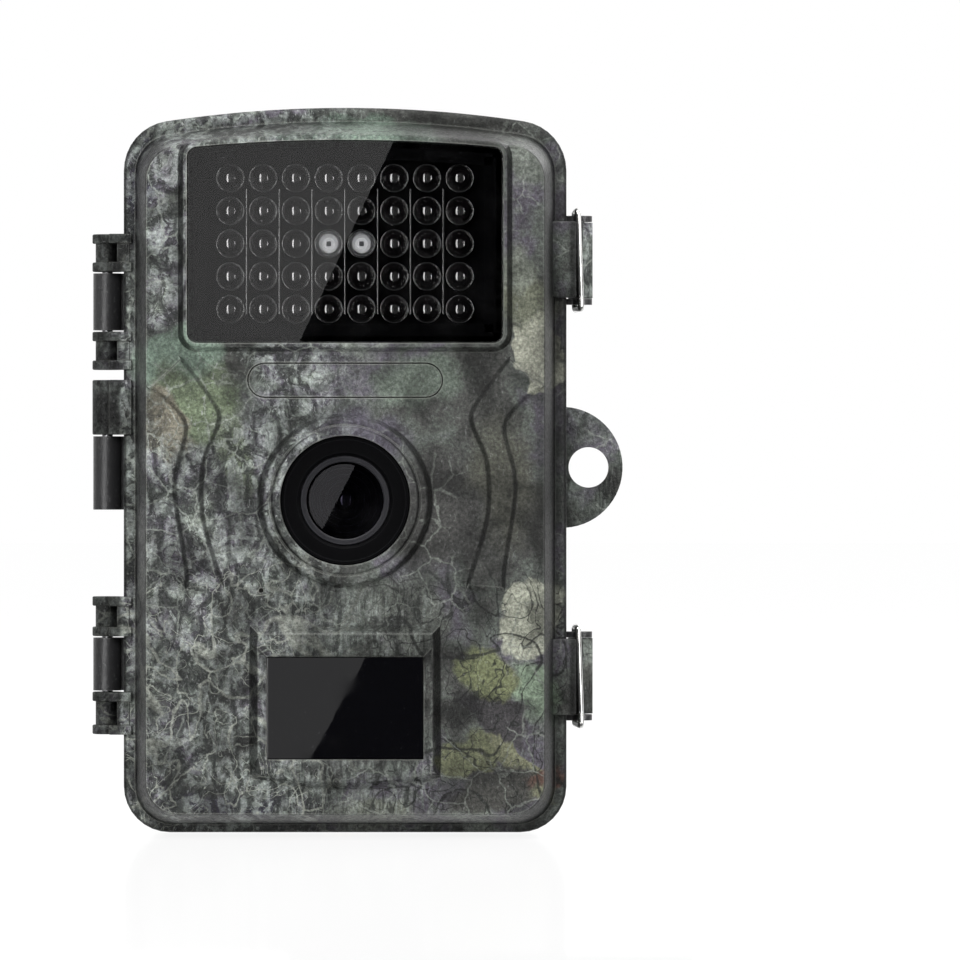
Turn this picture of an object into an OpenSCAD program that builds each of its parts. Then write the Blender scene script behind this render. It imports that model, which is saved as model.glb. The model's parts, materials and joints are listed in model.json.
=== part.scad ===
// Trail camera: a hinged field camera with an infrared flash, a motion sensor and an AA battery bay.
// The frame is +Z up with the lens looking along -Y; the origin is the mouth of the tripod thread.

/* [Case] */
// Width of the case rim
case_w = 82.5; // [81.5:0.5:84]
// Height of the case at the middle of its crowned top
case_h = 135; // [134:0.5:137]
// Radius of the crowned top edge
crown_r = 224; // [215:1:260]
// Depth of the raised front, from the parting plane to the face
front_depth = 20; // [19:0.5:22]
// Depth of the rear half, from the parting plane to the back wall
rear_depth = 24; // [24:0.5:28]
// Thickness of the moulded walls
wall = 2.4; // [2:0.1:2.8]
// Thickness of the front rim
rim_t = 4.5; // [4:0.1:5]

/* [Flash and sensor windows] */
// Width of the flash window
led_window_w = 58.1; // [57:0.1:59]
// Height of the flash window at its middle
led_window_h = 37.2; // [36:0.1:37.6]
// Distance between neighbouring light-emitting diodes
led_pitch = 6.05; // [5.8:0.05:6.2]
// Columns of diodes
led_columns = 8; // [7:1:8]
// Rows of diodes
led_rows = 5; // [4:1:5]
// Width of the motion sensor window
pir_window_w = 28.7; // [26:0.1:29]
// Height of the motion sensor window
pir_window_h = 18.7; // [17:0.1:19]

/* [Lens] */
// Height of the lens axis above the base
lens_z = 61.9; // [61:0.1:63]
// Outer diameter of the raised ring around the lens
bezel_d = 32; // [30:0.5:33]
// Diameter of the black lens trim ring
lens_ring_d = 23.7; // [22:0.1:24.4]
// Outer diameter of the lens barrel
barrel_d = 16.4; // [16:0.1:17]

/* [Hinge and latches] */
// Distance from the case middle to the hinge axis
hinge_x = 44.4; // [44.2:0.1:45]
// Diameter of the hinge pins
hinge_pin_d = 2; // [1.8:0.1:2.4]
// Height of the upper latch centre
latch_upper_z = 106.7; // [104:0.1:110]
// Height of the lower latch centre
latch_lower_z = 29; // [27:0.1:32]
// Diameter of the latch wire
wire_d = 1.2; // [1:0.1:1.4]

/* [Mounting] */
// Major diameter of the tripod thread (1/4 inch)
tripod_d = 6.35; // [6.3:0.05:6.4]
// Depth of the tripod thread
tripod_depth = 8; // [7:0.5:8.5]
// Diameter of the hole in the padlock ear
ear_hole_d = 7.6; // [6:0.1:8]
// Width of webbing that the rear bracket takes
strap_w = 20; // [18:1:21]

/* [Hidden] */

$fn = 48;
// Segments of the short arcs inside a hull.
hull_fn = 32;
// Clearance between parts that are assembled face to face.
gap = 0.1;
// Overshoot of a cut past the surface that it opens.
eps = 1;

// Planes across the case, front to back.
part_y = -12;
face_y = part_y - front_depth;
rim_y = part_y - rim_t;
back_y = part_y + rear_depth;
mid_y = part_y + 3.5;
seal_gap = 0.12;

half_w = case_w / 2;
top_corner_r = 9.3;
base_corner_r = 8.6;

// Raised front: its foot on the rim and its face.
foot_inset = 2.15;
foot_z0 = 1.5;
foot_top = 2.5;
face_inset = 4.55;
face_z0 = 4.1;
face_top = 5.7;

// Flash window and its frame.
led_window_z0 = 91;
led_window_z1 = led_window_z0 + led_window_h;
led_frame_border = 1.85;
led_frame_h = 2;
led_wall_y = face_y - led_frame_h;
led_window_t = 1.5;
led_window_y = led_wall_y + 0.9;
led_mid_z = 109.3;
led_d = 5;
led_tip_y = led_window_y + led_window_t + 0.4;
led_board_y = led_tip_y + 7.6;

// Motion sensor window and its frame.
pir_z0 = 14.3;
pir_mid_z = pir_z0 + pir_window_h / 2;
pir_frame_h = 2.6;
pir_window_y = face_y - pir_frame_h + 0.7;

// Lens.
bezel_h = 3.4;
bezel_y = face_y - bezel_h;
ring_y = bezel_y + 1.6;
board_t = 1.6;
main_board_y = -20.4;

// Inner panel of the front half.
panel_y = -15;
panel_t = 1.6;

// Hinge.
hinge_y = part_y;
lug_r = 2.8;
knuckle_r = 2.65;
pin_fit = 0.06;
// Bottom and top of each camouflaged lug, then of each black knuckle.
lug_spans = [[18.2, 26.1], [36.5, 43.9], [74.1, 84.3], [86.2, 93.3], [104.5, 111.5]];
knuckle_spans = [[26.35, 36.2], [60.1, 73.8], [93.6, 104.2]];
pin_spans = [[18.8, 43.3], [60.7, 83.7], [86.8, 110.9]];

// Latches.
latch_zs = [latch_upper_z, latch_lower_z];
pivot = [44, -10];
bail_pivot = [43.1, -4.5];
catch_bar = [43.7, -16.3];
wire_r = wire_d / 2;
bail_half = 10.3 - wire_r;
lever_half = 7.05;
lever_pin_r = 0.8;
lever_tip_y = 6;

// Padlock ear.
ear_z = 68;
ear_x = 40.7;
ear_r = 11.35;
ear_hole_x = 45.7;
ear_y0 = -6;
ear_y1 = -2;

// Battery bay, for two rows of four AA cells.
cell_d = 14.4;
cell_l = 50.2;
cell_pitch = 15.2;
bay_half = 2 * cell_pitch + 0.6;
bay_z0 = 14;
bay_z1 = 125.4;
bay_mid_z = (bay_z0 + bay_z1) / 2;
bay_floor_y = 5.7;
bay_t = 1.5;
cell_y = bay_floor_y - cell_d / 2 - 0.1;
contact_t = 0.4;

// Button pad on the inner panel.
pad_x = 8;
pad_z = 64.2;
pad_step = 9.5;
key_r = 3;
key_fit = 0.35;
key_proud = 1;

// Rear bracket.
bracket_half_w = 30;
bracket_z0 = 44;
bracket_z1 = 96;
bracket_t = 3;
rib_x = 20;
rib_t = 5;
rib_y = back_y + 9.5;
tooth_h = 2.5;
bracket_mid_z = (bracket_z0 + bracket_z1) / 2;

camo = "#5c6156";
camo_rear = "#565c50";
black = "#202122";
grey = "#3a3b3d";
board_green = "#1f5a34";
steel = "#b9bcc0";

// ---- Shared shapes ----

// Extrudes an outline drawn in X and Z from y0 back to y1.
module slab(y0, y1) {
    translate([0, y1, 0]) rotate([90, 0, 0]) linear_extrude(y1 - y0) children();
}

// A box between two corners.
module block(x0, x1, y0, y1, z0, z1) {
    translate([x0, y0, z0]) cube([x1 - x0, y1 - y0, z1 - z0]);
}

// A cylinder along Y, and one along Z.
module rod_y(x, z, r, y0, y1) {
    translate([x, y1, z]) rotate([90, 0, 0]) cylinder(r = r, h = y1 - y0);
}

module rod_z(x, y, r, z0, z1) {
    translate([x, y, z0]) cylinder(r = r, h = z1 - z0);
}

// Points of an arc in X and Z.
function arc(x, z, r, a0, a1, n = 8) =
    [for (i = [0:n]) let (a = a0 + (a1 - a0) * i / n) [x + r * cos(a), z + r * sin(a)]];

// Outline with round corners and a crowned top, from z0 to z1 at the middle.
function crowned(hw, z0, z1, rb, rt, rc = crown_r) =
    let (cx = hw - rt, cz = z1 - rc + sqrt(pow(rc - rt, 2) - cx * cx), a = atan2(cz - z1 + rc, cx))
    concat(
        arc(-(hw - rb), z0 + rb, rb, 180, 270),
        arc(hw - rb, z0 + rb, rb, 270, 360),
        arc(cx, cz, rt, 0, a),
        [for (p = arc(0, z1 - rc, rc, a, 180 - a, 14)) if (abs(p[0]) < cx) p],
        arc(-cx, cz, rt, 180 - a, 180)
    );

function case_outline(inset = 0) =
    crowned(half_w - inset, inset, case_h - inset, base_corner_r - inset, top_corner_r - inset);

function foot_outline() =
    crowned(half_w - foot_inset, foot_z0, case_h - foot_top, base_corner_r - 1.5, top_corner_r - 2);

function face_outline(inset = 0) =
    crowned(half_w - face_inset - inset, face_z0 + inset, case_h - face_top - inset,
            base_corner_r - 2.6, top_corner_r - 3);

function led_outline(grow = 0) =
    crowned(led_window_w / 2 + grow, led_window_z0 - grow, led_window_z1 + grow, 1.8 + grow, 1.8 + grow, 300);

// The sensor frame is wide at its top and bows down a little at its bottom edge.
function pir_outline(grow = 0) = concat(
    [[-17.8 - grow, 39.1 + grow], [-17.8 - grow, 10.4 - grow]],
    arc(0, 88.4 - grow, 80, 258.5, 281.5, 6),
    [[17.8 + grow, 10.4 - grow], [17.8 + grow, 39.1 + grow]]
);

// Smooth curve through control points.
function spline_at(p, i, t) =
    let (a = p[max(i - 1, 0)], b = p[i], c = p[i + 1], d = p[min(i + 2, len(p) - 1)])
    0.5 * (2 * b + (c - a) * t + (2 * a - 5 * b + 4 * c - d) * t * t + (3 * b - a - 3 * c + d) * t * t * t);

function spline(p, n = 4) =
    concat([for (i = [0:len(p) - 2], k = [0:n - 1]) spline_at(p, i, k / n)], [p[len(p) - 1]]);

// Inner and outer edges of the raised shoulder beside the lens.
shoulder_inner = [[30.6, 88.4], [24.5, 80], [23.3, 76.5], [26.2, 69], [26.4, 60], [24.3, 52], [22.5, 46]];
shoulder_outer = [[29.2, 45.4], [29.4, 50], [31.3, 62], [31, 68], [29.3, 75.5], [32.6, 80.2], [36.2, 82.5]];
shoulder_h = 0.8;

module mirrored_pair() {
    children();
    mirror([1, 0, 0]) children();
}

// ---- Front half ----

module front_body() {
    slab(rim_y, part_y - seal_gap) polygon(case_outline());
    hull() {
        slab(rim_y, rim_y + 0.2) polygon(foot_outline());
        slab(face_y, face_y + 0.2) polygon(face_outline());
    }
    mirrored_pair() slab(face_y - shoulder_h, face_y + eps)
        polygon(concat(spline(shoulder_inner), spline(shoulder_outer)));
    hull() {
        slab(led_wall_y, led_wall_y + 0.2) polygon(led_outline(0.9));
        slab(face_y, face_y + 0.2) polygon(led_outline(led_frame_border - 0.7));
    }
    hull() {
        slab(face_y - pir_frame_h, face_y - pir_frame_h + 0.2) polygon(pir_outline(-0.9));
        slab(face_y, face_y + 0.2) polygon(pir_outline());
    }
}

// Stepped ring around the lens, turned about the lens axis.
module bezel_ring() {
    translate([0, 0, lens_z]) rotate([90, 0, 0]) rotate_extrude() polygon([
        [0, -face_y - eps], [bezel_d / 2, -face_y - eps], [bezel_d / 2, -face_y + 1],
        [bezel_d / 2 - 1.4, -face_y + 2.2], [bezel_d / 2 - 2, -face_y + 2],
        [bezel_d / 2 - 2.6, -bezel_y], [0, -bezel_y]
    ]);
}

// A lug is a barrel with an arm that laps over the rim; a waisted lug is recessed between two flanges.
module hinge_lug(z0, z1, waisted) {
    flange = waisted ? 1.75 : (z1 - z0) / 2;
    for (z = [z0, z1 - flange]) {
        rod_z(-hinge_x, hinge_y, lug_r, z, z + flange);
        block(-hinge_x, -half_w + 1.6, rim_y - 0.6, hinge_y - 0.3, z, z + flange);
    }
    if (waisted) {
        rod_z(-hinge_x, hinge_y, lug_r - 0.6, z0 + 1, z1 - 1);
        block(-hinge_x + 1.2, -half_w + 1, rim_y + 1.4, hinge_y - 0.3, z0 + 1, z1 - 1);
    }
}

// A ledge for the latch wire, with a block beside it that keeps the wire from sliding inwards.
module catch(z) {
    z0 = z - lever_half;
    z1 = z + lever_half;
    block(half_w - 1, catch_bar[0] + 0.6, catch_bar[1] + wire_r + 0.2, part_y - 0.8, z0, z1);
    block(half_w - 2.4, catch_bar[0] - wire_r - 0.15, rim_y - 2.6, part_y - 1, z0, z1);
}

module front_cavity() {
    hull() {
        slab(part_y - 1, part_y + eps) polygon(case_outline(wall + 2));
        slab(face_y + wall, face_y + wall + 0.2) polygon(face_outline(wall));
    }
}

// Bosses that take the inner panel's screws.
panel_screw_sites = [[-33.5, 8.5], [33.5, 8.5], [-33.5, 68], [33.5, 68], [-31, 122], [31, 122]];
boss_r = 3;
boss_y = face_y + 6;

module front_shell() {
    color(camo) difference() {
        union() {
            difference() {
                union() {
                    front_body();
                    bezel_ring();
                    for (z = latch_zs) catch(z);
                }
                front_cavity();
            }
            for (s = lug_spans) hinge_lug(s[0], s[1], s[1] - s[0] < 9);
            for (p = panel_screw_sites) rod_y(p[0], p[1], boss_r, boss_y, panel_y - gap);
        }
        for (s = pin_spans) rod_z(-hinge_x, hinge_y, hinge_pin_d / 2 + pin_fit, s[0], s[1]);
        for (p = panel_screw_sites) rod_y(p[0], p[1], 1, boss_y + 1, panel_y + eps);
        slab(led_window_y - 3, led_window_y + led_window_t + 0.2) polygon(led_outline(gap));
        slab(led_window_y, face_y + wall + eps) polygon(led_outline(-1.2));
        pir_opening(pir_window_w / 2 + gap, pir_window_h / 2 + gap, pir_window_y - 3, pir_window_y + 1.7);
        pir_opening(pir_window_w / 2 - 1.5, pir_window_h / 2 - 1.5, pir_window_y, face_y + wall + eps);
        rod_y(0, lens_z, lens_ring_d / 2 + gap, bezel_y - eps, ring_y + 2.2);
        rod_y(0, lens_z, barrel_d / 2 + 0.4, bezel_y, face_y + wall + eps);
        rod_y(-15.5, 45.3, 0.4, face_y - eps, face_y + wall + eps);
        slab(face_y - eps, face_y + 1) nameplate_shape(0.3);
    }
}

module pir_opening(hw, hh, y0, y1) {
    block(-hw, hw, y0, y1, pir_mid_z - hh, pir_mid_z + hh);
}

module nameplate_shape(grow = 0) {
    plate_w = 35.7;
    plate_r = 3.05 + grow;
    hull() for (x = [-1, 1]) translate([x * (plate_w / 2 - 3.05), 84.05]) circle(r = plate_r, $fn = hull_fn);
}

module nameplate() {
    color(camo) slab(face_y, face_y + 0.9) nameplate_shape();
}

module led_window() {
    color("#0b0b0d") slab(led_window_y, led_window_y + led_window_t) polygon(led_outline());
}

// Centres of the diodes; the two clear ones sit in the middle of the third row.
function led_sites() = [
    for (r = [0:led_rows - 1], c = [0:led_columns - 1])
        [(c - (led_columns - 1) / 2) * led_pitch, led_mid_z + ((led_rows - 1) / 2 - r) * led_pitch]
];

function is_clear(p) = abs(p[0]) < led_pitch && abs(p[1] - led_mid_z) < led_pitch / 2;

// One diode: a flanged barrel with a domed tip.
module led(p) {
    r = led_d / 2;
    translate([p[0], led_tip_y + r, p[1]]) {
        sphere(r = r);
        rotate([-90, 0, 0]) cylinder(r = r, h = led_board_y - led_tip_y - r);
        translate([0, led_board_y - led_tip_y - r - 1, 0]) rotate([-90, 0, 0]) cylinder(r = r + 0.3, h = 1);
    }
}

module ir_leds() {
    color("#2a2024") for (p = led_sites()) if (!is_clear(p)) led(p);
}

module clear_leds() {
    color("#d8dadd") for (p = led_sites()) if (is_clear(p)) led(p);
}

module led_plate_outline(grow = 0) {
    w = led_window_w / 2 - 2.6 + grow;
    translate([-w, led_mid_z - 16.4 - grow]) square([2 * w, 32.8 + 2 * grow]);
}

module led_holder() {
    color(black) difference() {
        slab(led_board_y - 4, led_board_y - 2) led_plate_outline();
        for (p = led_sites()) rod_y(p[0], p[1], led_d / 2 + 0.05, led_board_y - 4 - eps, led_board_y);
    }
}

module led_board() {
    color(board_green) slab(led_board_y, led_board_y + board_t) led_plate_outline(0.4);
}

module lens_ring() {
    color(black) difference() {
        rod_y(0, lens_z, lens_ring_d / 2, ring_y, ring_y + 2);
        rod_y(0, lens_z, barrel_d / 2 + 0.15, ring_y - eps, ring_y + 3);
    }
}

module lens_barrel() {
    color(grey) difference() {
        rod_y(0, lens_z, barrel_d / 2, ring_y + 0.4, face_y + 5.5);
        rod_y(0, lens_z, 6.95, ring_y - eps, ring_y + 2.2);
        rod_y(0, lens_z, 5, ring_y, face_y + 6);
    }
}

// A lens element: a disc with a shallow domed front.
module lens_element(r, y, t, rise) {
    dome_r = (r * r + rise * rise) / (2 * rise);
    translate([0, y, lens_z]) rotate([90, 0, 0]) rotate_extrude()
        polygon(concat([[0, -t], [r, -t]], [for (i = [0:8]) let (a = asin(r / dome_r) * (1 - i / 8))
            [dome_r * sin(a), dome_r * cos(a) - dome_r + rise]]));
}

module lens_front_element() {
    color([0.1, 0.1, 0.14, 0.6]) lens_element(6.85, ring_y + 1.2, 0.9, 0.3);
}

module lens_rear_element() {
    color([0.2, 0.2, 0.3, 0.6]) lens_element(4.9, face_y + 4.4, 0.9, 0.7);
}

holder_y = face_y + 5.6;
filter_y = holder_y + 1.6;

// The holder carries the barrel and lets the infrared filter slide across behind it.
module lens_holder() {
    color(black) difference() {
        block(-9, 16, holder_y, main_board_y - gap, lens_z - 9, lens_z + 9);
        rod_y(0, lens_z, 5, holder_y - eps, main_board_y + eps);
        block(-6.5, 14.4, filter_y - 0.3, filter_y + 1.1, lens_z - 5, lens_z + 5);
        block(-6.5, 6.5, filter_y + 1, main_board_y + eps, lens_z - 6.5, lens_z + 6.5);
    }
}

module ir_cut_filter() {
    color("#8a4a55") block(-6.1, 6.1, filter_y, filter_y + 0.8, lens_z - 4.6, lens_z + 4.6);
}

module image_sensor() {
    color("#26282c") block(-5.5, 5.5, main_board_y - 1.3, main_board_y - gap / 2, lens_z - 5, lens_z + 5);
}

module pir_window() {
    color("#0b0b0d") pir_opening(pir_window_w / 2, pir_window_h / 2, pir_window_y, pir_window_y + 1.5);
}

module pir_sensor() {
    color(steel) {
        rod_y(0, pir_mid_z, 4.1, pir_window_y + 3, pir_window_y + 7);
        rod_y(0, pir_mid_z, 4.6, pir_window_y + 6.6, pir_window_y + 7.2);
        for (a = [45, 135, 270])
            rod_y(2.5 * cos(a), pir_mid_z + 2.5 * sin(a), 0.25, pir_window_y + 7, main_board_y);
    }
}

module microphone() {
    color(steel) rod_y(-15.5, 45.3, 2, face_y + wall + 0.3, face_y + wall + 2.3);
}

module main_board() {
    color(board_green) difference() {
        block(-30, 30, main_board_y, main_board_y + board_t, 10, 84);
        rod_y(26, 80, 1.5, main_board_y - eps, main_board_y + 3);
        rod_y(-26, 80, 1.5, main_board_y - eps, main_board_y + 3);
    }
}

// ---- Inner panel, screen and controls ----

button_names = ["up", "down", "left", "right", "ok", "menu"];
button_sites = [
    [pad_x, pad_z + pad_step], [pad_x, pad_z - pad_step], [pad_x - pad_step, pad_z],
    [pad_x + pad_step, pad_z], [pad_x, pad_z], [-16, pad_z + pad_step]
];

screen = [-24, 24, 80.5, 117];
switch_x = -19;
switch_z = 52;
switch_travel = 3;
card_x0 = 2;
card_w = 24;
card_z0 = 22;
card_z1 = card_z0 + 22;
speaker_x = -19.5;
speaker_z = 35.5;

module inner_panel() {
    color(black) difference() {
        union() {
            slab(panel_y, panel_y + panel_t) polygon(case_outline(wall + 2.9));
            block(screen[0] - 2, screen[1] + 2, panel_y + panel_t - 0.2, panel_y + panel_t + 0.5,
                  screen[2] - 2, screen[3] + 2);
        }
        block(screen[0], screen[1], panel_y - eps, panel_y + 3, screen[2], screen[3]);
        for (p = button_sites) rod_y(p[0], p[1], key_r + key_fit, panel_y - eps, panel_y + 3);
        for (p = panel_screw_sites) rod_y(p[0], p[1], 1.3, panel_y - eps, panel_y + 3);
        block(switch_x - 4.4, switch_x + 4.4 + 2 * switch_travel, panel_y - eps, panel_y + 3,
              switch_z - 1.9, switch_z + 1.9);
        block(card_x0 - 1.5, card_x0 + card_w + 1.5, panel_y - eps, panel_y + 3, 13, card_z1 + 0.5);
        block(-24.5, -13.5, panel_y - eps, panel_y + 3, 14, 20);
        for (x = [-27:3:-12], z = [28:3:43])
            if (norm([x - speaker_x, z - speaker_z]) < 9) rod_y(x, z, 0.8, panel_y - eps, panel_y + 3);
    }
}

module lcd_screen() {
    color("#101418") block(screen[0] + 0.15, screen[1] - 0.15, panel_y - 1.8, panel_y + panel_t - 0.2,
                           screen[2] + 0.15, screen[3] - 0.15);
}

// A key with a wide foot under the panel, so that it can't fall out.
module button(p) {
    color(grey) {
        rod_y(p[0], p[1], key_r, panel_y - 1.2, panel_y + panel_t + key_proud);
        rod_y(p[0], p[1], key_r + 1.2, panel_y - 2, panel_y - 1);
    }
}

module switch_block(x, half_x, y0, y1, half_z) {
    block(x - half_x, x + half_x, y0, y1, switch_z - half_z, switch_z + half_z);
}

// The slider: a ribbed cap above the panel, a neck through it and a wide foot below.
module mode_switch() {
    color(steel) {
        switch_block(switch_x, 4, panel_y + 0.2, panel_y + 1.2, 1.6);
        switch_block(switch_x, 5.5, panel_y - 1.2, panel_y - 0.2, 2.8);
        switch_block(switch_x, 3.6, panel_y - 0.4, panel_y + 0.4, 1.6);
        for (i = [-1:1]) switch_block(switch_x + i * 2, 0.5, panel_y + 1, panel_y + 2.3, 1.6);
    }
}

slot_y = panel_y - 3;

module sd_slot() {
    color(steel) difference() {
        block(card_x0 - 1.4, card_x0 + card_w + 1.4, slot_y - 0.3, slot_y + 2.9, card_z0 + 5, card_z1 + 6);
        block(card_x0 - 0.2, card_x0 + card_w + 0.2, slot_y, slot_y + 2.5, card_z0, card_z1 + 4);
    }
}

module sd_card() {
    color("#1b2430") slab(slot_y + 0.2, slot_y + 2.3) polygon([
        [card_x0, card_z0], [card_x0 + card_w, card_z0], [card_x0 + card_w, card_z1 - 3],
        [card_x0 + card_w - 3, card_z1], [card_x0, card_z1]
    ]);
}

module usb_port() {
    color(steel) difference() {
        block(-23.5, -14.5, panel_y - 3.6, panel_y + 0.9, 15, 19.4);
        block(-22.9, -15.1, panel_y - 2.4, panel_y + 2, 15.6, 18.8);
    }
}

module speaker() {
    color(grey) rod_y(speaker_x, speaker_z, 10, panel_y - 3.6, panel_y - 0.2);
}

// Pan-head screw along Y with its head at the back.
module screw(p, y0, y_head, shank_r = 0.95, head_r = 2, head_t = 1) {
    rod_y(p[0], p[1], shank_r, y0, y_head);
    difference() {
        rod_y(p[0], p[1], head_r, y_head, y_head + head_t);
        for (a = [0, 90]) translate([p[0], y_head + head_t, p[1]]) rotate([0, a, 0])
            cube([2 * head_r * 0.7, 0.8, 0.4], center = true);
    }
}

module panel_screws() {
    color(steel) for (p = panel_screw_sites) screw(p, panel_y - 7, panel_y + panel_t);
}

power_zs = [50, 56];
power_x = -34;

module power_pins() {
    color("#c9a24a") for (z = power_zs) {
        rod_y(power_x, z, 1.2, panel_y + panel_t, part_y - 0.4);
        rod_y(power_x, z, 0.6, part_y - 0.5, part_y + 0.9);
    }
}

// ---- Rear half ----

module bay_shape(grow = 0) {
    translate([-bay_half - grow, bay_z0 - grow]) square([2 * (bay_half + grow), bay_z1 - bay_z0 + 2 * grow]);
}

module knuckle(z0, z1) {
    rod_z(-hinge_x, hinge_y, knuckle_r, z0, z1);
    block(-hinge_x, -half_w + 1, hinge_y + 0.3, mid_y, z0, z1);
}

// Two ears that hold a latch lever's pin.
module clevis(z) {
    for (z0 = [z - lever_half - 1.25, z + lever_half + 0.15]) {
        rod_z(pivot[0], pivot[1], 2.2, z0, z0 + 1.1);
        block(half_w - 1, pivot[0], part_y + 0.3, mid_y, z0, z0 + 1.1);
    }
}

frame_screw_sites = [[-35.5, 8], [35.5, 8], [-35.5, 68], [35.5, 93], [-35.5, 120], [35.5, 120]];
seal_inset = 1.9;
seal_w = 1.6;

module mid_frame() {
    color(black) difference() {
        union() {
            slab(part_y, mid_y) polygon(case_outline());
            slab(mid_y - eps, bay_floor_y + bay_t) bay_shape(bay_t);
            for (s = knuckle_spans) knuckle(s[0], s[1]);
            for (z = latch_zs) clevis(z);
        }
        slab(part_y - eps, bay_floor_y) difference() {
            bay_shape();
            translate([-bay_half, bay_mid_z - 1]) square([2 * bay_half, 2]);
        }
        slab(part_y - eps, part_y + 1.4) difference() {
            polygon(case_outline(seal_inset));
            polygon(case_outline(seal_inset + seal_w));
        }
        for (s = pin_spans) rod_z(-hinge_x, hinge_y, hinge_pin_d / 2 + 0.01, s[0], s[1]);
        for (z = latch_zs) rod_z(pivot[0], pivot[1], lever_pin_r + 0.01, z - 9, z + 9);
        for (p = frame_screw_sites) {
            rod_y(p[0], p[1], 1, part_y - eps, mid_y + eps);
            rod_y(p[0], p[1], 2.1, part_y - eps, part_y + 1.6);
        }
        for (z = power_zs) rod_y(power_x, z, 1.7, part_y - eps, part_y + 1.2);
    }
}

module case_seal() {
    color("#303234") slab(part_y - 0.07, part_y + 1.35) difference() {
        polygon(case_outline(seal_inset + 0.05));
        polygon(case_outline(seal_inset + seal_w - 0.05));
    }
}

module power_pads() {
    color("#c9a24a") for (z = power_zs) rod_y(power_x, z, 1.65, part_y + 1, part_y + 1.15);
}

jack_x = 22;
jack_r = 4;
back_edge_r = 4;

// The rear tub, with its back edge rounded in a few steps.
module rear_body() {
    slab(mid_y + 0.02, back_y - back_edge_r) polygon(case_outline());
    hull() for (a = [0:22.5:90]) {
        y = back_y - back_edge_r * (1 - sin(a));
        slab(y - 0.1, y) polygon(case_outline(back_edge_r * (1 - cos(a))));
    }
}

module rear_shell() {
    color(camo_rear) difference() {
        union() {
            difference() {
                rear_body();
                slab(mid_y - eps, back_y - wall) polygon(case_outline(wall));
            }
            rod_y(ear_x, ear_z, ear_r, ear_y0, ear_y1);
            block(-7, 7, -7, 7, 0, 10.5);
            block(jack_x - 7, jack_x + 7, -7, 7, 0, 4);
            for (p = frame_screw_sites) rod_y(p[0], p[1], 2.8, mid_y + 0.02, back_y - 1);
        }
        block(half_w - 20, half_w - wall, ear_y0 - eps, ear_y1 + eps, ear_z - 15, ear_z + 15);
        rod_y(ear_hole_x, ear_z, ear_hole_d / 2, ear_y0 - eps, ear_y1 + eps);
        rod_z(0, 0, 4.5, -eps, tripod_depth + 1);
        rod_z(jack_x, 0, jack_r + 0.35, -eps, 5);
        rod_z(jack_x, 0, 6.1, -eps, 1.6);
        for (p = frame_screw_sites) rod_y(p[0], p[1], 0.95, mid_y - eps, back_y - 3);
        for (p = bracket_screw_sites) rod_y(p[0], p[1], 1.5, back_y - wall - eps, back_y + eps);
    }
}

module tripod_insert() {
    color("#b08d4a") difference() {
        rod_z(0, 0, 4.5, 0, tripod_depth + 1);
        rod_z(0, 0, tripod_d / 2, -eps, tripod_depth);
    }
}

module dc_jack() {
    color(black) difference() {
        rod_z(jack_x, 0, jack_r + 0.3, 1.8, 12);
        rod_z(jack_x, 0, 2.75, 0, 10.5);
    }
    color(steel) rod_z(jack_x, 0, 1, 6.5, 11);
}

// A rubber bung with a finger tab, flush with the recess in the base.
module dc_plug() {
    color(black) {
        rod_z(jack_x, 0, 5.8, 0.4, 1.5);
        rod_z(jack_x, 0, 2.65, 1.4, 5.5);
    }
}

module batteries() {
    color("#b8873a") for (c = [-1.5:1.5], r = [0, 1]) {
        z0 = r == 0 ? bay_z0 + 2.9 : bay_mid_z + 1 + 2.9;
        x = c * cell_pitch;
        rod_z(x, cell_y, cell_d / 2, z0, z0 + cell_l - 1);
        rod_z(x, cell_y, 2.7, z0 + cell_l - 1.1, z0 + cell_l);
    }
}

// Each spring is three closed turns that widen towards its plate.
module battery_springs() {
    color(steel) for (c = [-1.5:1.5], z0 = [bay_z0 + 0.1, bay_mid_z + 1.1], turn = [0:2])
        translate([c * cell_pitch, cell_y, z0 + 0.4 + turn * 0.9])
            rotate_extrude() translate([4.6 - turn * 0.8, 0]) circle(r = 0.38, $fn = 16);
}

module contact_plates() {
    color(steel) for (c = [-1.5:1.5], z1 = [bay_mid_z - 1.1, bay_z1 - 0.1])
        block(c * cell_pitch - 5, c * cell_pitch + 5, cell_y - 5, cell_y + 5, z1 - contact_t, z1);
}

// ---- Rear bracket ----

bracket_screw_sites = [for (x = [-1, 1], z = [bracket_z0 + 6, bracket_z1 - 6]) [x * 10, z]];

// Side view of a rib: straight sides and a row of teeth that bite the bark.
function rib_profile() = concat(
    [[back_y + 1, bracket_z0 + 2]],
    [for (i = [0:15]) [rib_y + (i % 2) * tooth_h, bracket_z0 + 3 + i * (bracket_z1 - bracket_z0 - 6) / 15]],
    [[back_y + 1, bracket_z1 - 2]]
);

module tree_bracket() {
    color(black) difference() {
        union() {
            slab(back_y, back_y + bracket_t) translate([-bracket_half_w, bracket_z0])
                square([2 * bracket_half_w, bracket_z1 - bracket_z0]);
            mirrored_pair() translate([rib_x, 0, 0]) rotate([90, 0, 90]) linear_extrude(rib_t)
                polygon(rib_profile());
        }
        mirrored_pair() block(rib_x - eps, rib_x + rib_t + eps, back_y + bracket_t, back_y + bracket_t + 4.5,
                              bracket_mid_z - strap_w / 2 - 1.5, bracket_mid_z + strap_w / 2 + 1.5);
        for (p = bracket_screw_sites) rod_y(p[0], p[1], 1.6, back_y - eps, back_y + bracket_t + eps);
    }
}

module bracket_screws() {
    color(steel) for (p = bracket_screw_sites) screw(p, back_y - wall, back_y + bracket_t, 1.45, 2.8, 1.4);
}

module frame_screws() {
    color(steel) for (p = frame_screw_sites) translate([p[0], 0, p[1]]) mirror([0, 1, 0])
        screw([0, 0], -mid_y - 8, -part_y - 1.6, 0.92, 1.9, 1.1);
}

// ---- Hinge pins and latches ----

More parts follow.
